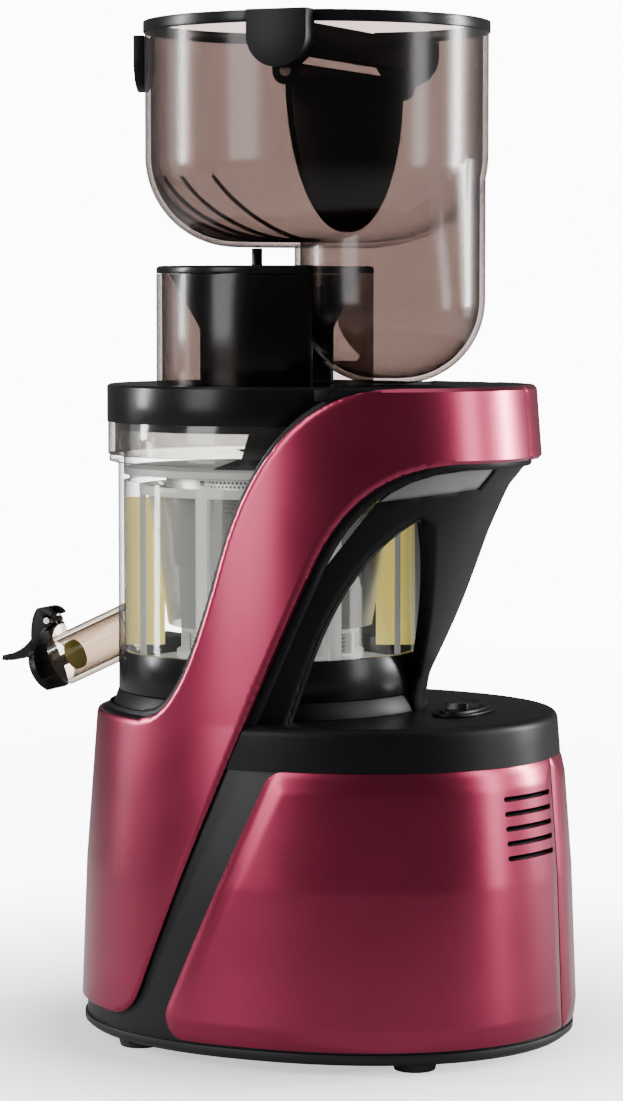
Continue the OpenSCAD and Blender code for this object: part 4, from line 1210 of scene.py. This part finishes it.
@dataclass
class Casing:
    """The base, the deck and the arch, with the burgundy skins on them."""

    shop: Workshop
    oval: OvalBody = field(default_factory=OvalBody)
    lines: Outlines = field(default_factory=Outlines)
    skin: float = 2.4 * MM
    doubler: float = 4.4 * MM
    overlap: float = 0.05 * MM
    seam: float = 0.5 * MM
    frame_outer: float = 4.6 * MM
    frame_inner: float = 10.0 * MM
    frame_top: float = 291.35 * MM
    deck_gap: float = 0.15 * MM
    liner: float = 3.0 * MM
    cradle_gap: float = 0.5 * MM
    spine_reach: float = 0.35
    grip_depth: float = 3.0 * MM
    grip_middle: float = 19.0 * MM
    border: float = 9.0 * MM
    border_drop: float = 1.25 * MM
    brim: float = 3.0 * MM
    brim_drop: float = 0.6 * MM
    panel_sharp: float = 24.0
    edge: float = 1.4 * MM
    fine: int = 440
    step: float = 1.5 * MM
    drum_room: tuple[Point2, ...] = ((0, 140), (73.2, 140), (73.2, 158), (71, 158), (71, 253),
                                     (75.6, 253), (75.6, 310), (0, 310))
    drum_steps: int = 160
    deck_low: float = 131.15 * MM
    deck_sharp: float = 30.0
    deck_skin: float = 3.0 * MM
    deck_wall: float = 5.0 * MM
    rim_inset: float = 1.5 * MM
    rim_height: float = 4.0 * MM
    rim_width: float = 3.6 * MM
    rim_steps: int = 8
    notch_out: float = 4.0 * MM
    notch_gap: float = 0.3 * MM
    ribbon_gap: float = 0.4 * MM
    shaft_hole: float = 16.0 * MM
    vents: int = 5
    vent_pitch: float = 6.5 * MM
    vent_top: float = 117.5 * MM
    vent_size: Point2 = (34.0 * MM, 2.3 * MM)
    vent_x: float = 24.0 * MM
    vent_reach: Point2 = (BODY_Y + 60.0 * MM, BODY_Y + 140.0 * MM)

    def place_halves(self, whole: Piece, name: str, look: Look, node: str, gap: float,
                     degrees: float = SHARP) -> None:
        """Splits a solid at the middle and places its two sides.

        Args:
            whole: The solid, which is used up.
            name: The sides' common name.
            look: Their look.
            node: The common name of the frame's solids that they stand for.
            gap: The distance of each side from the middle.
            degrees: The angle between faces from which their edges are sharp.
        """
        for side in Side:
            half = whole.copy()
            half.data = whole.data.copy()
            bpy.context.scene.collection.objects.link(half)
            combine(half, self.oval.half_block(side, gap), Cut.KEEP)
            self.shop.place(smooth(merge_slivers(half), degrees), f"{name}_{side.label}", "base",
                            look, f"{node}_{side.label}")
        bpy.data.objects.remove(whole)

    def shell(self, low: float, high: float, outer: float, inner: float,
              outline: Sequence[Point2], relief: Relief) -> Piece:
        """A curved wall of the casing, cut to an outline.

        Args:
            low: Its lowest height.
            high: Its highest height.
            outer: The inset of its outside.
            inner: The inset of its inside.
            outline: Its outline seen from the side.
            relief: Gives how much each outside point is sunk.

        Returns:
            The wall, both sides in one.
        """
        rings = self.oval.rows(low, high, outer, self.step)
        whole = self.oval.solid(rings, self.fine, relief)
        self.oval.hollowed(whole, low, high, inner)
        return combine(whole, prism(outline), Cut.KEEP)

    def seam_depth(self, places: np.ndarray, outline: Sequence[Point2]) -> np.ndarray:
        """How far points lie inside an outline and from the middle seam."""
        return np.minimum(side_depth(places, outline), np.abs(places[:, 0]) - self.seam)

    def build_ribbons(self) -> None:
        """The two halves of the ribbon, with rolled edges and a lining."""
        outline = self.lines.ribbon()
        low, high = self.lines.ribbon_foot * MM, self.lines.top_z * MM

        def relief(places: np.ndarray) -> np.ndarray:
            """Rolls the ribbon's edges."""
            return rolled(self.seam_depth(places, outline), self.edge)

        whole = self.shell(low, high, 0.0, self.skin, outline, relief)
        low = self.lines.deck_z * MM + self.deck_gap
        lining = self.oval.solid(self.oval.rows(low, high, self.skin - self.overlap))
        self.oval.hollowed(lining, low, high, self.doubler)
        combine(lining, prism(outline), Cut.KEEP)
        combine(whole, lining, Cut.JOIN)
        self.place_halves(whole, "ribbon_skin", Look.BURGUNDY, "ribbon", self.seam)

    def build_panels(self) -> None:
        """The side panels, with a bevelled border and their vents."""
        outline = self.lines.panel()

        def relief(places: np.ndarray) -> np.ndarray:
            """Slopes the panel's border and drops its brim.

            Args:
                places: Rows of X, Y and Z.

            Returns:
                How much each of them is sunk.
            """
            depth = self.seam_depth(places, outline)
            slope = np.clip(1 - depth / self.border, 0.0, 1.0)
            brim = np.clip(1 - depth / self.brim, 0.0, 1.0)
            return self.border_drop * slope + self.brim_drop * brim ** 2

        low, high = self.lines.panel_foot * MM - self.step, self.lines.panel_top * MM + self.step
        whole = self.shell(low, high, 0.0, self.skin, outline, relief)
        for k in range(self.vents):
            combine(whole, self.vent_slot(self.vent_top - k * self.vent_pitch), Cut.CUT)
        self.place_halves(whole, "panel_skin", Look.BURGUNDY, "side_panel", self.seam,
                          self.panel_sharp)

    def vent_slot(self, z: float) -> Piece:
        """A long slot with round ends, through the rear wall.

        Args:
            z: Its middle height.

        Returns:
            The cutter.
        """
        length, height = self.vent_size
        near, far = self.vent_reach
        slot = block((self.vent_x - length / 2, near, z - height / 2),
                     (self.vent_x + length / 2, far, z + height / 2))
        return apply_modifier(slot, "BEVEL", width=height * 0.49, segments=4, limit_method="NONE")

    def liner_edge(self, gap: float = 0.0) -> list[Point2]:
        """The outline of the lining under the ribbon, made larger by a gap."""
        return grown(self.lines.ribbon(), self.liner + gap)

    def window_depth(self, places: np.ndarray) -> np.ndarray:
        """How far points lie inside the side windows.

        Args:
            places: Rows of X, Y and Z.

        Returns:
            Their depths, negative outside.
        """
        inside = side_depth(places, self.lines.window())
        spine = outline_depth(places[:, 0], places[:, 2], self.lines.spine())
        return np.minimum(inside, -spine)

    def grip_room(self, places: np.ndarray) -> np.ndarray:
        """How far points lie inside the pocket for the finger grip.

        Args:
            places: Rows of X, Y and Z.

        Returns:
            Their depths, negative outside.
        """
        inside = np.minimum(side_depth(places, self.lines.grip()),
                            np.abs(places[:, 0]) - self.grip_middle)
        return np.minimum(inside, -side_depth(places, self.liner_edge(self.deck_gap)))

    def liner_shell(self) -> Piece:
        """The black lining under the ribbon.

        Returns:
            The solid, both sides in one.
        """
        edge = self.liner_edge()

        def relief(places: np.ndarray) -> np.ndarray:
            """Rolls the lining's edges."""
            return rolled(side_depth(places, edge), self.edge)

        return self.shell(self.lines.deck_z * MM + self.deck_gap, self.frame_top,
                          self.frame_outer, self.frame_inner, edge, relief)

    def cradle_shell(self) -> Piece:
        """The wall behind the drum, with its two windows and the pocket for the finger grip.

        Returns:
            The solid, both sides in one.
        """
        low, high = self.lines.deck_z * MM + self.deck_gap, (self.lines.band_z + 2) * MM
        form = self.oval.cradle

        def relief(places: np.ndarray) -> np.ndarray:
            """Rolls the edges of the windows and of the pocket."""
            pocket = rolled(-self.grip_room(places), self.edge * 0.6)
            return np.maximum(rolled(-self.window_depth(places), self.edge * 1.3), pocket)

        def core(inset: float, past: float = 6.0 * MM) -> Piece:
            """The room inside an inset of the wall."""
            return self.oval.solid(self.oval.rows(low - past, high + past, inset), form=form)

        rings = self.oval.rows(low, high, self.cradle_gap, self.step)
        wall = self.oval.solid(rings, self.fine, relief, form)
        combine(wall, core(self.cradle_gap + self.frame_inner - self.frame_outer), Cut.CUT)
        combine(wall, prism(self.lines.web()), Cut.KEEP)
        window = prism(self.lines.window())
        combine(window, slab(self.lines.spine(), self.spine_reach), Cut.CUT)
        combine(wall, window, Cut.CUT)
        pocket = prism(self.lines.grip())
        combine(pocket, prism(self.liner_edge(self.deck_gap), WIDE + 10 * MM), Cut.CUT)
        middle = block((-self.grip_middle, -FAR, WIDE), (self.grip_middle, FAR, FAR))
        combine(pocket, middle, Cut.CUT)
        combine(pocket, core(self.cradle_gap + self.grip_depth), Cut.CUT)
        return combine(wall, pocket, Cut.CUT)

    def build_arch(self) -> None:
        """The black frame under the ribbon, with the wall behind the drum."""
        whole = combine(self.cradle_shell(), self.liner_shell(), Cut.JOIN)
        combine(whole, lathe(metres(self.drum_room), self.drum_steps), Cut.CUT)
        self.place_halves(whole, "arch_shell", Look.MATTE, "arch_frame", 0.0)

    def build_deck(self) -> None:
        """The matte deck, with a soft rim and room for the ribbon."""
        low, high, inset = self.deck_low, self.lines.deck_z * MM, self.rim_inset
        rim_z = high - self.rim_height
        rim = [(low, inset), (low + 8 * MM, inset), (rim_z, inset)]
        for k in range(self.rim_steps):
            a = math.pi / 2 * (k + 1) / self.rim_steps
            rim.append((rim_z + self.rim_height * math.sin(a),
                        inset + self.rim_width * (1 - math.cos(a))))
        deck = self.oval.solid(rim, self.fine)
        core = self.oval.rows(low - 10 * MM, high - self.deck_skin, self.deck_wall)
        combine(deck, self.oval.solid(core), Cut.CUT)
        notch = self.oval.solid(self.oval.rows(low - 20 * MM, high + 20 * MM, -self.notch_out))
        core = self.oval.rows(low - 30 * MM, high + 30 * MM, self.skin + self.notch_gap)
        combine(notch, self.oval.solid(core), Cut.CUT)
        combine(notch, prism(grown(self.lines.ribbon(), self.ribbon_gap)), Cut.KEEP)
        combine(deck, notch, Cut.CUT)
        combine(deck, rod(self.shaft_hole, WIDE / 2, WIDE, (0.0, DRUM_Y, 0.0)), Cut.CUT)
        self.shop.place(smooth(deck, self.deck_sharp), "deck_shell", "base", Look.MATTE,
                        "deck_cover")

    def build_fittings(self) -> None:
        """The smaller pieces of the base, with their edges softened, and the drive's finishes."""
        self.shop.place_copies(
            "shell",
            ("arch_top_cover", "base", Look.MATTE, 0.5),
            ("arch_vent_grille", "base", Look.MATTE, 0.25),
            ("handle_grip", "base", Look.GRIP, 0.5),
            ("bottom_plate", "base", Look.DARK, 0.4),
            ("rubber_feet", "base", Look.RUBBER, 0.4),
            ("base_housing", "base", Look.DARK, 0.3),
            ("switch_bezel", "base", Look.MATTE, 0.4),
            ("power_inlet", "base", Look.MATTE, 0.3))
        self.shop.place_copies(
            "key", ("switch_rocker", "rocker", Look.GLOSS, 0.6))
        self.shop.dress(Look.DARK, "motor_mount", "cooling_fan")
        self.shop.dress(Look.GREY, "gearbox_tray", "gearbox_cover")
        self.shop.dress(Look.STEEL, "upper_bearing", "lower_bearing", "base_screws",
                        "gearbox_screws", "collar_screws", "motor_rotor", "intermediate_gear",
                        "output_gear", "output_shaft")
        self.shop.dress(Look.COPPER, "motor_stator")
        self.shop.dress(Look.BOARD, "control_board")
        self.shop.dress(Look.RUBBER, "shaft_seal")

    def build(self) -> None:
        """Builds the casing from the ribbon inwards."""
        self.build_ribbons()
        self.build_panels()
        self.build_arch()
        self.build_deck()
        self.build_fittings()


@dataclass
class Drum:
    """The juicing drum, its lid and what shows through its walls.

    Sleeves are the outer radius and the height at the foot and at the top, and the spout's root
    and the cap's pin are depth from the body's middle and height, all in millimetres.
    """

    shop: Workshop
    skirt: tuple[Point2, Point2] = ((46.9, 187.0), (56.5, 250.0))
    skirt_wall: float = 1.0 * MM
    cup: tuple[Point2, Point2] = ((43.9, 214.0), (45.4, 238.0))
    tier: tuple[Point2, Point2] = ((41.0, 184.0), (41.9, 213.0))
    cup_wall: float = 2.6 * MM
    band: tuple[Point2, Point2] = ((47.7, 238.6), (47.7, 255.8))
    band_wall: float = 0.4 * MM
    spout_root: Point2 = (-97.1, 183.0)
    spout_slope: float = 25.0
    cap_pin: Point2 = (-139.65, 184.57)
    leaf_radius: float = 14.4
    spout_room: Point2 = (14.9, 42.3)
    ear_radius: float = 6.1
    ear_half: float = 3.85
    hook_half: float = 7.4
    tail_half: float = 6.0
    plug: tuple[float, float, float] = (7.0, 32.0, 36.4)
    stem: tuple[float, float, float] = (2.6, 36.0, 44.0)

    def sleeve(self, ends: tuple[Point2, Point2], wall: float) -> Piece:
        """A thin tapered sleeve round the drum's axis.

        Args:
            ends: Its outer radius and its height at the foot and at the top, in millimetres.
            wall: Its thickness.

        Returns:
            The closed solid.
        """
        (low_r, low), (top_r, top) = metres(ends)
        profile = [(low_r - wall, low), (low_r, low), (top_r, top), (top_r - wall, top)]
        return lathe(rounded(profile, [wall * 0.4] * 4, 2), 144)

    def build_cages(self) -> None:
        """The strainer's stepped cup with its steel band, and the wiper's tapered skirt."""
        strainer = self.shop.copied("strainer_frame", 0.3 * MM)
        for ends in (self.cup, self.tier):
            combine(strainer, self.sleeve(ends, self.cup_wall), Cut.JOIN)
        self.shop.place(smooth(strainer), "strainer_frame_form", "strainer", Look.GREY,
                        "strainer_frame")
        band = smooth(self.sleeve(self.band, self.band_wall))
        self.shop.place(band, "strainer_band", "strainer", Look.MESH)
        skirt = smooth(self.sleeve(self.skirt, self.skirt_wall))
        self.shop.place(skirt, "wiper_skirt", "wiper", Look.FROSTED)

    def along_spout(self, radius: float, low: float, high: float) -> Piece:
        """A round bar on the spout's axis, in millimetres.

        Args:
            radius: Its radius.
            low: Where it starts, from the spout's root.
            high: Where it ends.

        Returns:
            The solid.
        """
        place = (0.0, self.spout_root[0] * MM + BODY_Y, self.spout_root[1] * MM)
        return rod(radius * MM, low * MM, high * MM, place,
                   (math.radians(90 + self.spout_slope), 0.0, 0.0), 72)

    def ear_space(self) -> Piece:
        """The room that the cap leaves round the spout's ear, about its hinge.

        Returns:
            The cutter.
        """
        place = (0.0, self.cap_pin[0] * MM + BODY_Y, self.cap_pin[1] * MM)
        reach = self.ear_half * MM
        return rod(self.ear_radius * MM, -reach, reach, place,
                   (0.0, math.pi / 2, 0.0), 48)

    def leaf_shape(self) -> list[Point2]:
        """The cap's curved leaf with its hook, seen from the side.

        Returns:
            The outline.
        """
        back = bezier((-137.4, 182.2), (-146.0, 182.0), (-146.6, 168.0), (-136.6, 152.8), 12)
        front = bezier((-138.4, 151.9), (-150.3, 163.5), (-149.6, 187.4), (-144.0, 190.6), 14)
        hook = bezier((-144.0, 190.6), (-141.0, 191.4), (-138.0, 190.4), (-136.4, 187.8), 6)
        inside = bezier((-137.6, 187.0), (-142.2, 188.8), (-143.6, 183.2), (-137.4, 182.9), 8)
        return metres(back + front + hook[1:] + inside)

    def tail_shape(self) -> list[Point2]:
        """The cap's tail, seen from the side.

        Returns:
            The outline.
        """
        upper = bezier((-146.9, 178.5), (-149.6, 172.5), (-155.0, 168.6), (-163.6, 167.4), 10)
        lower = bezier((-163.9, 164.9), (-156.0, 164.4), (-150.0, 167.0), (-146.4, 168.0), 8)
        return metres(upper + lower)

    def build_cap(self) -> None:
        """The spout's hooked cap with its tail, and the olive plug on its stem."""
        shape = self.leaf_shape()
        leaf = prism(shape, self.leaf_radius * MM)
        combine(leaf, self.along_spout(self.leaf_radius, 30.0, 70.0), Cut.KEEP)
        combine(leaf, prism(shape, self.hook_half * MM), Cut.JOIN)
        combine(leaf, self.ear_space(), Cut.CUT)
        combine(leaf, prism(self.tail_shape(), self.tail_half * MM), Cut.JOIN)
        room, depth = self.spout_room
        combine(leaf, self.along_spout(room, 0.0, depth), Cut.CUT)
        self.shop.place(soften(leaf, 0.5 * MM, 2, SHARP), "spout_cap_form", "cap", Look.GLOSS,
                        "spout_cap")
        plug = soften(self.along_spout(*self.plug), 1.0 * MM, 3, SHARP)
        self.shop.place(plug, "cap_plug_form", "cap", Look.OLIVE, "cap_plug")
        self.shop.place(smooth(self.along_spout(*self.stem)), "cap_stem", "cap", Look.GLOSS)

    def build(self) -> None:
        """Builds the drum from its base to its lid."""
        self.shop.place_copies(
            "form",
            ("drum_seat", "base", Look.MATTE, 0.5),
            ("bowl_base", "drum", Look.GLOSS, 0.6),
            ("bowl_wall", "drum", Look.CLEAR, 0.4),
            ("juice_spout", "drum", Look.SPOUT, 0.3),
            ("pulp_outlet", "drum", Look.GLOSS, 0.4),
            ("strainer_mesh", "strainer", Look.MESH, 0.0),
            ("wiper_frame", "wiper", Look.GREY, 0.3),
            ("wiper_blades", "wiper", Look.YELLOW, 0.5),
            ("lid_seal", "seal", Look.RUBBER, 0.3),
            ("lid_ring", "lid", Look.GLOSS, 0.5),
            ("lid_collar", "lid", Look.COLLAR, 0.3),
            ("feed_neck", "lid", Look.SMOKE, 0.4),
            ("neck_cap", "lid", Look.GLOSS, 0.5),
            ("feed_chute", "lid", Look.DARK, 0.4))
        self.build_cages()
        self.build_cap()
        self.shop.dress(Look.STEEL, "cap_pin")
        self.shop.dress(Look.GREY, "idler_gear")
        self.shop.dress(Look.DARK, "auger")


@dataclass
class Hopper:
    """The smoky hopper with its rim, tabs and gate."""

    shop: Workshop
    axis_y: float = BODY_Y - 5.5 * MM
    floor_z: float = 361.6 * MM
    inner: float = 75.1 * MM
    fillet: float = 38.4 * MM
    ribs: tuple[float, ...] = (-58.0, -45.0, -32.0, -16.0)
    rib_reach: Point2 = (73.6 * MM, 25.0 * MM)
    rib_turn: float = 52.0
    rib_turn_less: float = 4.0
    rib_sweep: float = 0.8
    rib_radius: float = 0.9 * MM

    def floor_point(self, radius: float, degrees: float) -> Vector:
        """A point on the bowl's inside.

        Args:
            radius: Its distance from the bowl's axis.
            degrees: Its direction from the axis.

        Returns:
            The point.
        """
        past = max(0.0, radius - (self.inner - self.fillet))
        rise = self.fillet - math.sqrt(max(0.0, self.fillet ** 2 - past ** 2))
        turn = math.radians(degrees)
        return Vector((radius * math.cos(turn), self.axis_y + radius * math.sin(turn),
                       self.floor_z + rise))

    def build_ribs(self, steps: int = 28) -> None:
        """The curved guide ribs on the bowl's floor, which sweep from the wall to the outlet.

        Args:
            steps: Stretches along each rib.
        """
        far, near = self.rib_reach
        for number, start in enumerate(self.ribs):
            turn = self.rib_turn - self.rib_turn_less * number
            shares = [k / steps for k in range(steps + 1)]
            path = [self.floor_point(far + (near - far) * t, start + turn * t ** self.rib_sweep)
                    for t in shares]
            self.shop.place(bead(path, self.rib_radius), f"floor_rib_{number + 1}", "hopper",
                            Look.SMOKE_RIB)

    def build(self) -> None:
        """Builds the hopper from its bowl to its gate."""
        self.shop.place_copies(
            "form",
            ("hopper_body", "hopper", Look.SMOKE, 0.0),
            ("hopper_rim", "hopper", Look.GLOSS, 0.8),
            ("hopper_bar", "hopper", Look.MATTE, 0.8),
            ("front_tab", "hopper", Look.MATTE, 0.8),
            ("hopper_gate", "gate", Look.GLOSS, 0.8))
        self.build_ribs()
        self.shop.dress(Look.STEEL, "gate_pins")


# ---------- the studio ----------


@dataclass(frozen=True)
class Lamp:
    """One soft light: where it hangs, its width and height, its watts and what it points at."""

    name: str
    place: tuple[float, float, float]
    size: Point2
    power: float
    aim: tuple[float, float, float] = (0.0, 0.0, 0.2)

    def hang(self) -> None:
        """Adds the light to the scene."""
        bpy.ops.object.light_add(type="AREA", location=self.place)
        lamp = bpy.context.active_object
        lamp.name = self.name
        lamp.data.shape = "RECTANGLE"
        lamp.data.size, lamp.data.size_y = self.size
        lamp.data.energy = self.power
        lamp.visible_camera = False
        way = Vector(self.aim) - Vector(self.place)
        lamp.rotation_euler = way.to_track_quat("-Z", "Y").to_euler()


@dataclass
class Studio:
    """The camera, the lights and the pale floor."""

    azimuth: float = math.radians(22.0)
    distance: float = 1.6
    eye: float = 339.5 * MM
    focal: float = 3520.0
    picture_height: float = 1101.0
    axis_shift: float = 16.5
    horizon_shift: float = 260.5
    sensor: float = 36.0
    floor_size: float = 60.0
    white: float = 12.0
    surround: float = 0.14
    floor_painted_glow: float = 8.0
    # A painted shadow: how the floor's glow is dimmed near the foot.
    painted_foot_shadow: tuple[float, float, float, float] = (0.10, 0.42, 0.10, 1.0)
    floor_fade: Point2 = (0.25, 1.8)
    paper: tuple[Colour, Colour] = ((0.44, 0.44, 0.44), (0.47, 0.47, 0.47))
    lamps: tuple[Lamp, ...] = (
        Lamp("key_softbox", (1.48, -0.72, 0.85), (0.65, 1.5), 28.0),
        Lamp("front_strip", (0.12, -1.3, 0.40), (0.30, 1.3), 2.5),
        Lamp("rear_strip", (-0.85, 1.1, 0.40), (0.30, 1.3), 5.0),
        Lamp("side_strip", (-0.08, 1.65, 0.60), (0.32, 1.5), 22.0, aim=(0.0, 0.05, 0.2)),
        Lamp("front_band", (0.34, -1.3, 0.55), (0.14, 0.62), 20.0, aim=(0.0, 0.0, 0.45)),
        Lamp("rear_band", (-0.80, 1.1, 0.50), (0.16, 0.62), 32.0, aim=(0.0, 0.0, 0.45)),
        Lamp("top_softbox", (-0.2, 0.0, 1.9), (1.5, 1.5), 14.0, aim=(0.0, 0.02, 0.2)))

    def build_camera(self) -> None:
        """Sets the camera, with the machine off the middle of its picture."""
        up = Vector((0.0, 0.0, 1.0))
        toward = Vector((-math.cos(self.azimuth), -math.sin(self.azimuth), 0.0))
        right = toward.cross(up)
        place = Vector((0.0, BODY_Y, self.eye)) - toward * self.distance
        aim = toward - right * (self.axis_shift / self.focal)
        aim -= up * (self.horizon_shift / self.focal)
        bpy.ops.object.camera_add(location=place)
        camera = bpy.context.active_object
        camera.name = "studio_camera"
        camera.rotation_euler = aim.to_track_quat("-Z", "Y").to_euler()
        camera.data.sensor_fit = "VERTICAL"
        camera.data.sensor_height = self.sensor
        camera.data.lens = self.focal / self.picture_height * self.sensor
        camera.data.clip_end = 200.0
        bpy.context.scene.camera = camera

    def build_world(self) -> None:
        """A white surround that lights the machine more softly than it looks."""
        world = bpy.data.worlds.new("studio_white")
        bpy.context.scene.world = world
        world.use_nodes = True
        tree = world.node_tree
        background = tree.nodes["Background"]
        path = tree.nodes.new("ShaderNodeLightPath")
        level = tree.nodes.new("ShaderNodeMapRange")
        level.inputs["To Min"].default_value = self.surround
        level.inputs["To Max"].default_value = self.white
        tree.links.new(path.outputs["Is Camera Ray"], level.inputs["Value"])
        tree.links.new(level.outputs[0], background.inputs["Strength"])
        background.inputs["Color"].default_value = (1.0, 1.0, 1.0, 1.0)

    def build_floor(self) -> None:
        """A pale floor that fades into the surround, with a painted shadow round the foot."""
        bpy.ops.object.select_all(action="DESELECT")
        bpy.ops.mesh.primitive_grid_add(x_subdivisions=8, y_subdivisions=8, size=self.floor_size)
        floor = bpy.context.active_object
        floor.name = "pale_floor"
        shader = Shader("pale_floor")
        x, y, _ = shader.axes()
        far = (x * x + y * y).function("SQRT")
        paper = shader.principled(Base_Color=shader.blend(shader.noise(3.0, 2.0), *self.paper),
                                  Roughness=0.85, Specular_IOR_Level=0.15)
        seen = Value(shader, shader.node("ShaderNodeLightPath").outputs["Is Camera Ray"])
        # The floor's glow is dimmed round the foot: a painted shadow.
        shade = shader.ramp(far, *self.painted_foot_shadow)
        near = shader.node("ShaderNodeEmission", {}, {
            "Strength": seen * shade * self.floor_painted_glow})
        away = shader.node("ShaderNodeEmission", {}, {
            "Strength": seen * (self.white - self.surround) + self.surround})
        both = shader.node("ShaderNodeAddShader", {}, {0: paper, 1: near.outputs[0]})
        fade = shader.ramp(far, *self.floor_fade, 0.0, 1.0)
        surface = shader.mixed(fade, both.outputs[0], away.outputs[0])
        floor.data.materials.append(shader.finish(surface))

    def build(self) -> None:
        """Sets up the whole studio."""
        self.build_camera()
        self.build_world()
        self.build_floor()
        for lamp in self.lamps:
            lamp.hang()


def main() -> None:
    """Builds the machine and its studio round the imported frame."""
    logging.basicConfig(level=logging.INFO, format="%(levelname)s %(message)s")
    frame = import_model()
    Studio().build()
    shop = Workshop(frame)
    for part in (Casing(shop), Drum(shop), Hopper(shop)):
        part.build()
        LOG.info("%s is built", type(part).__name__)
    LOG.info("%d new pieces", shop.count)


if __name__ == "__main__":
    main()
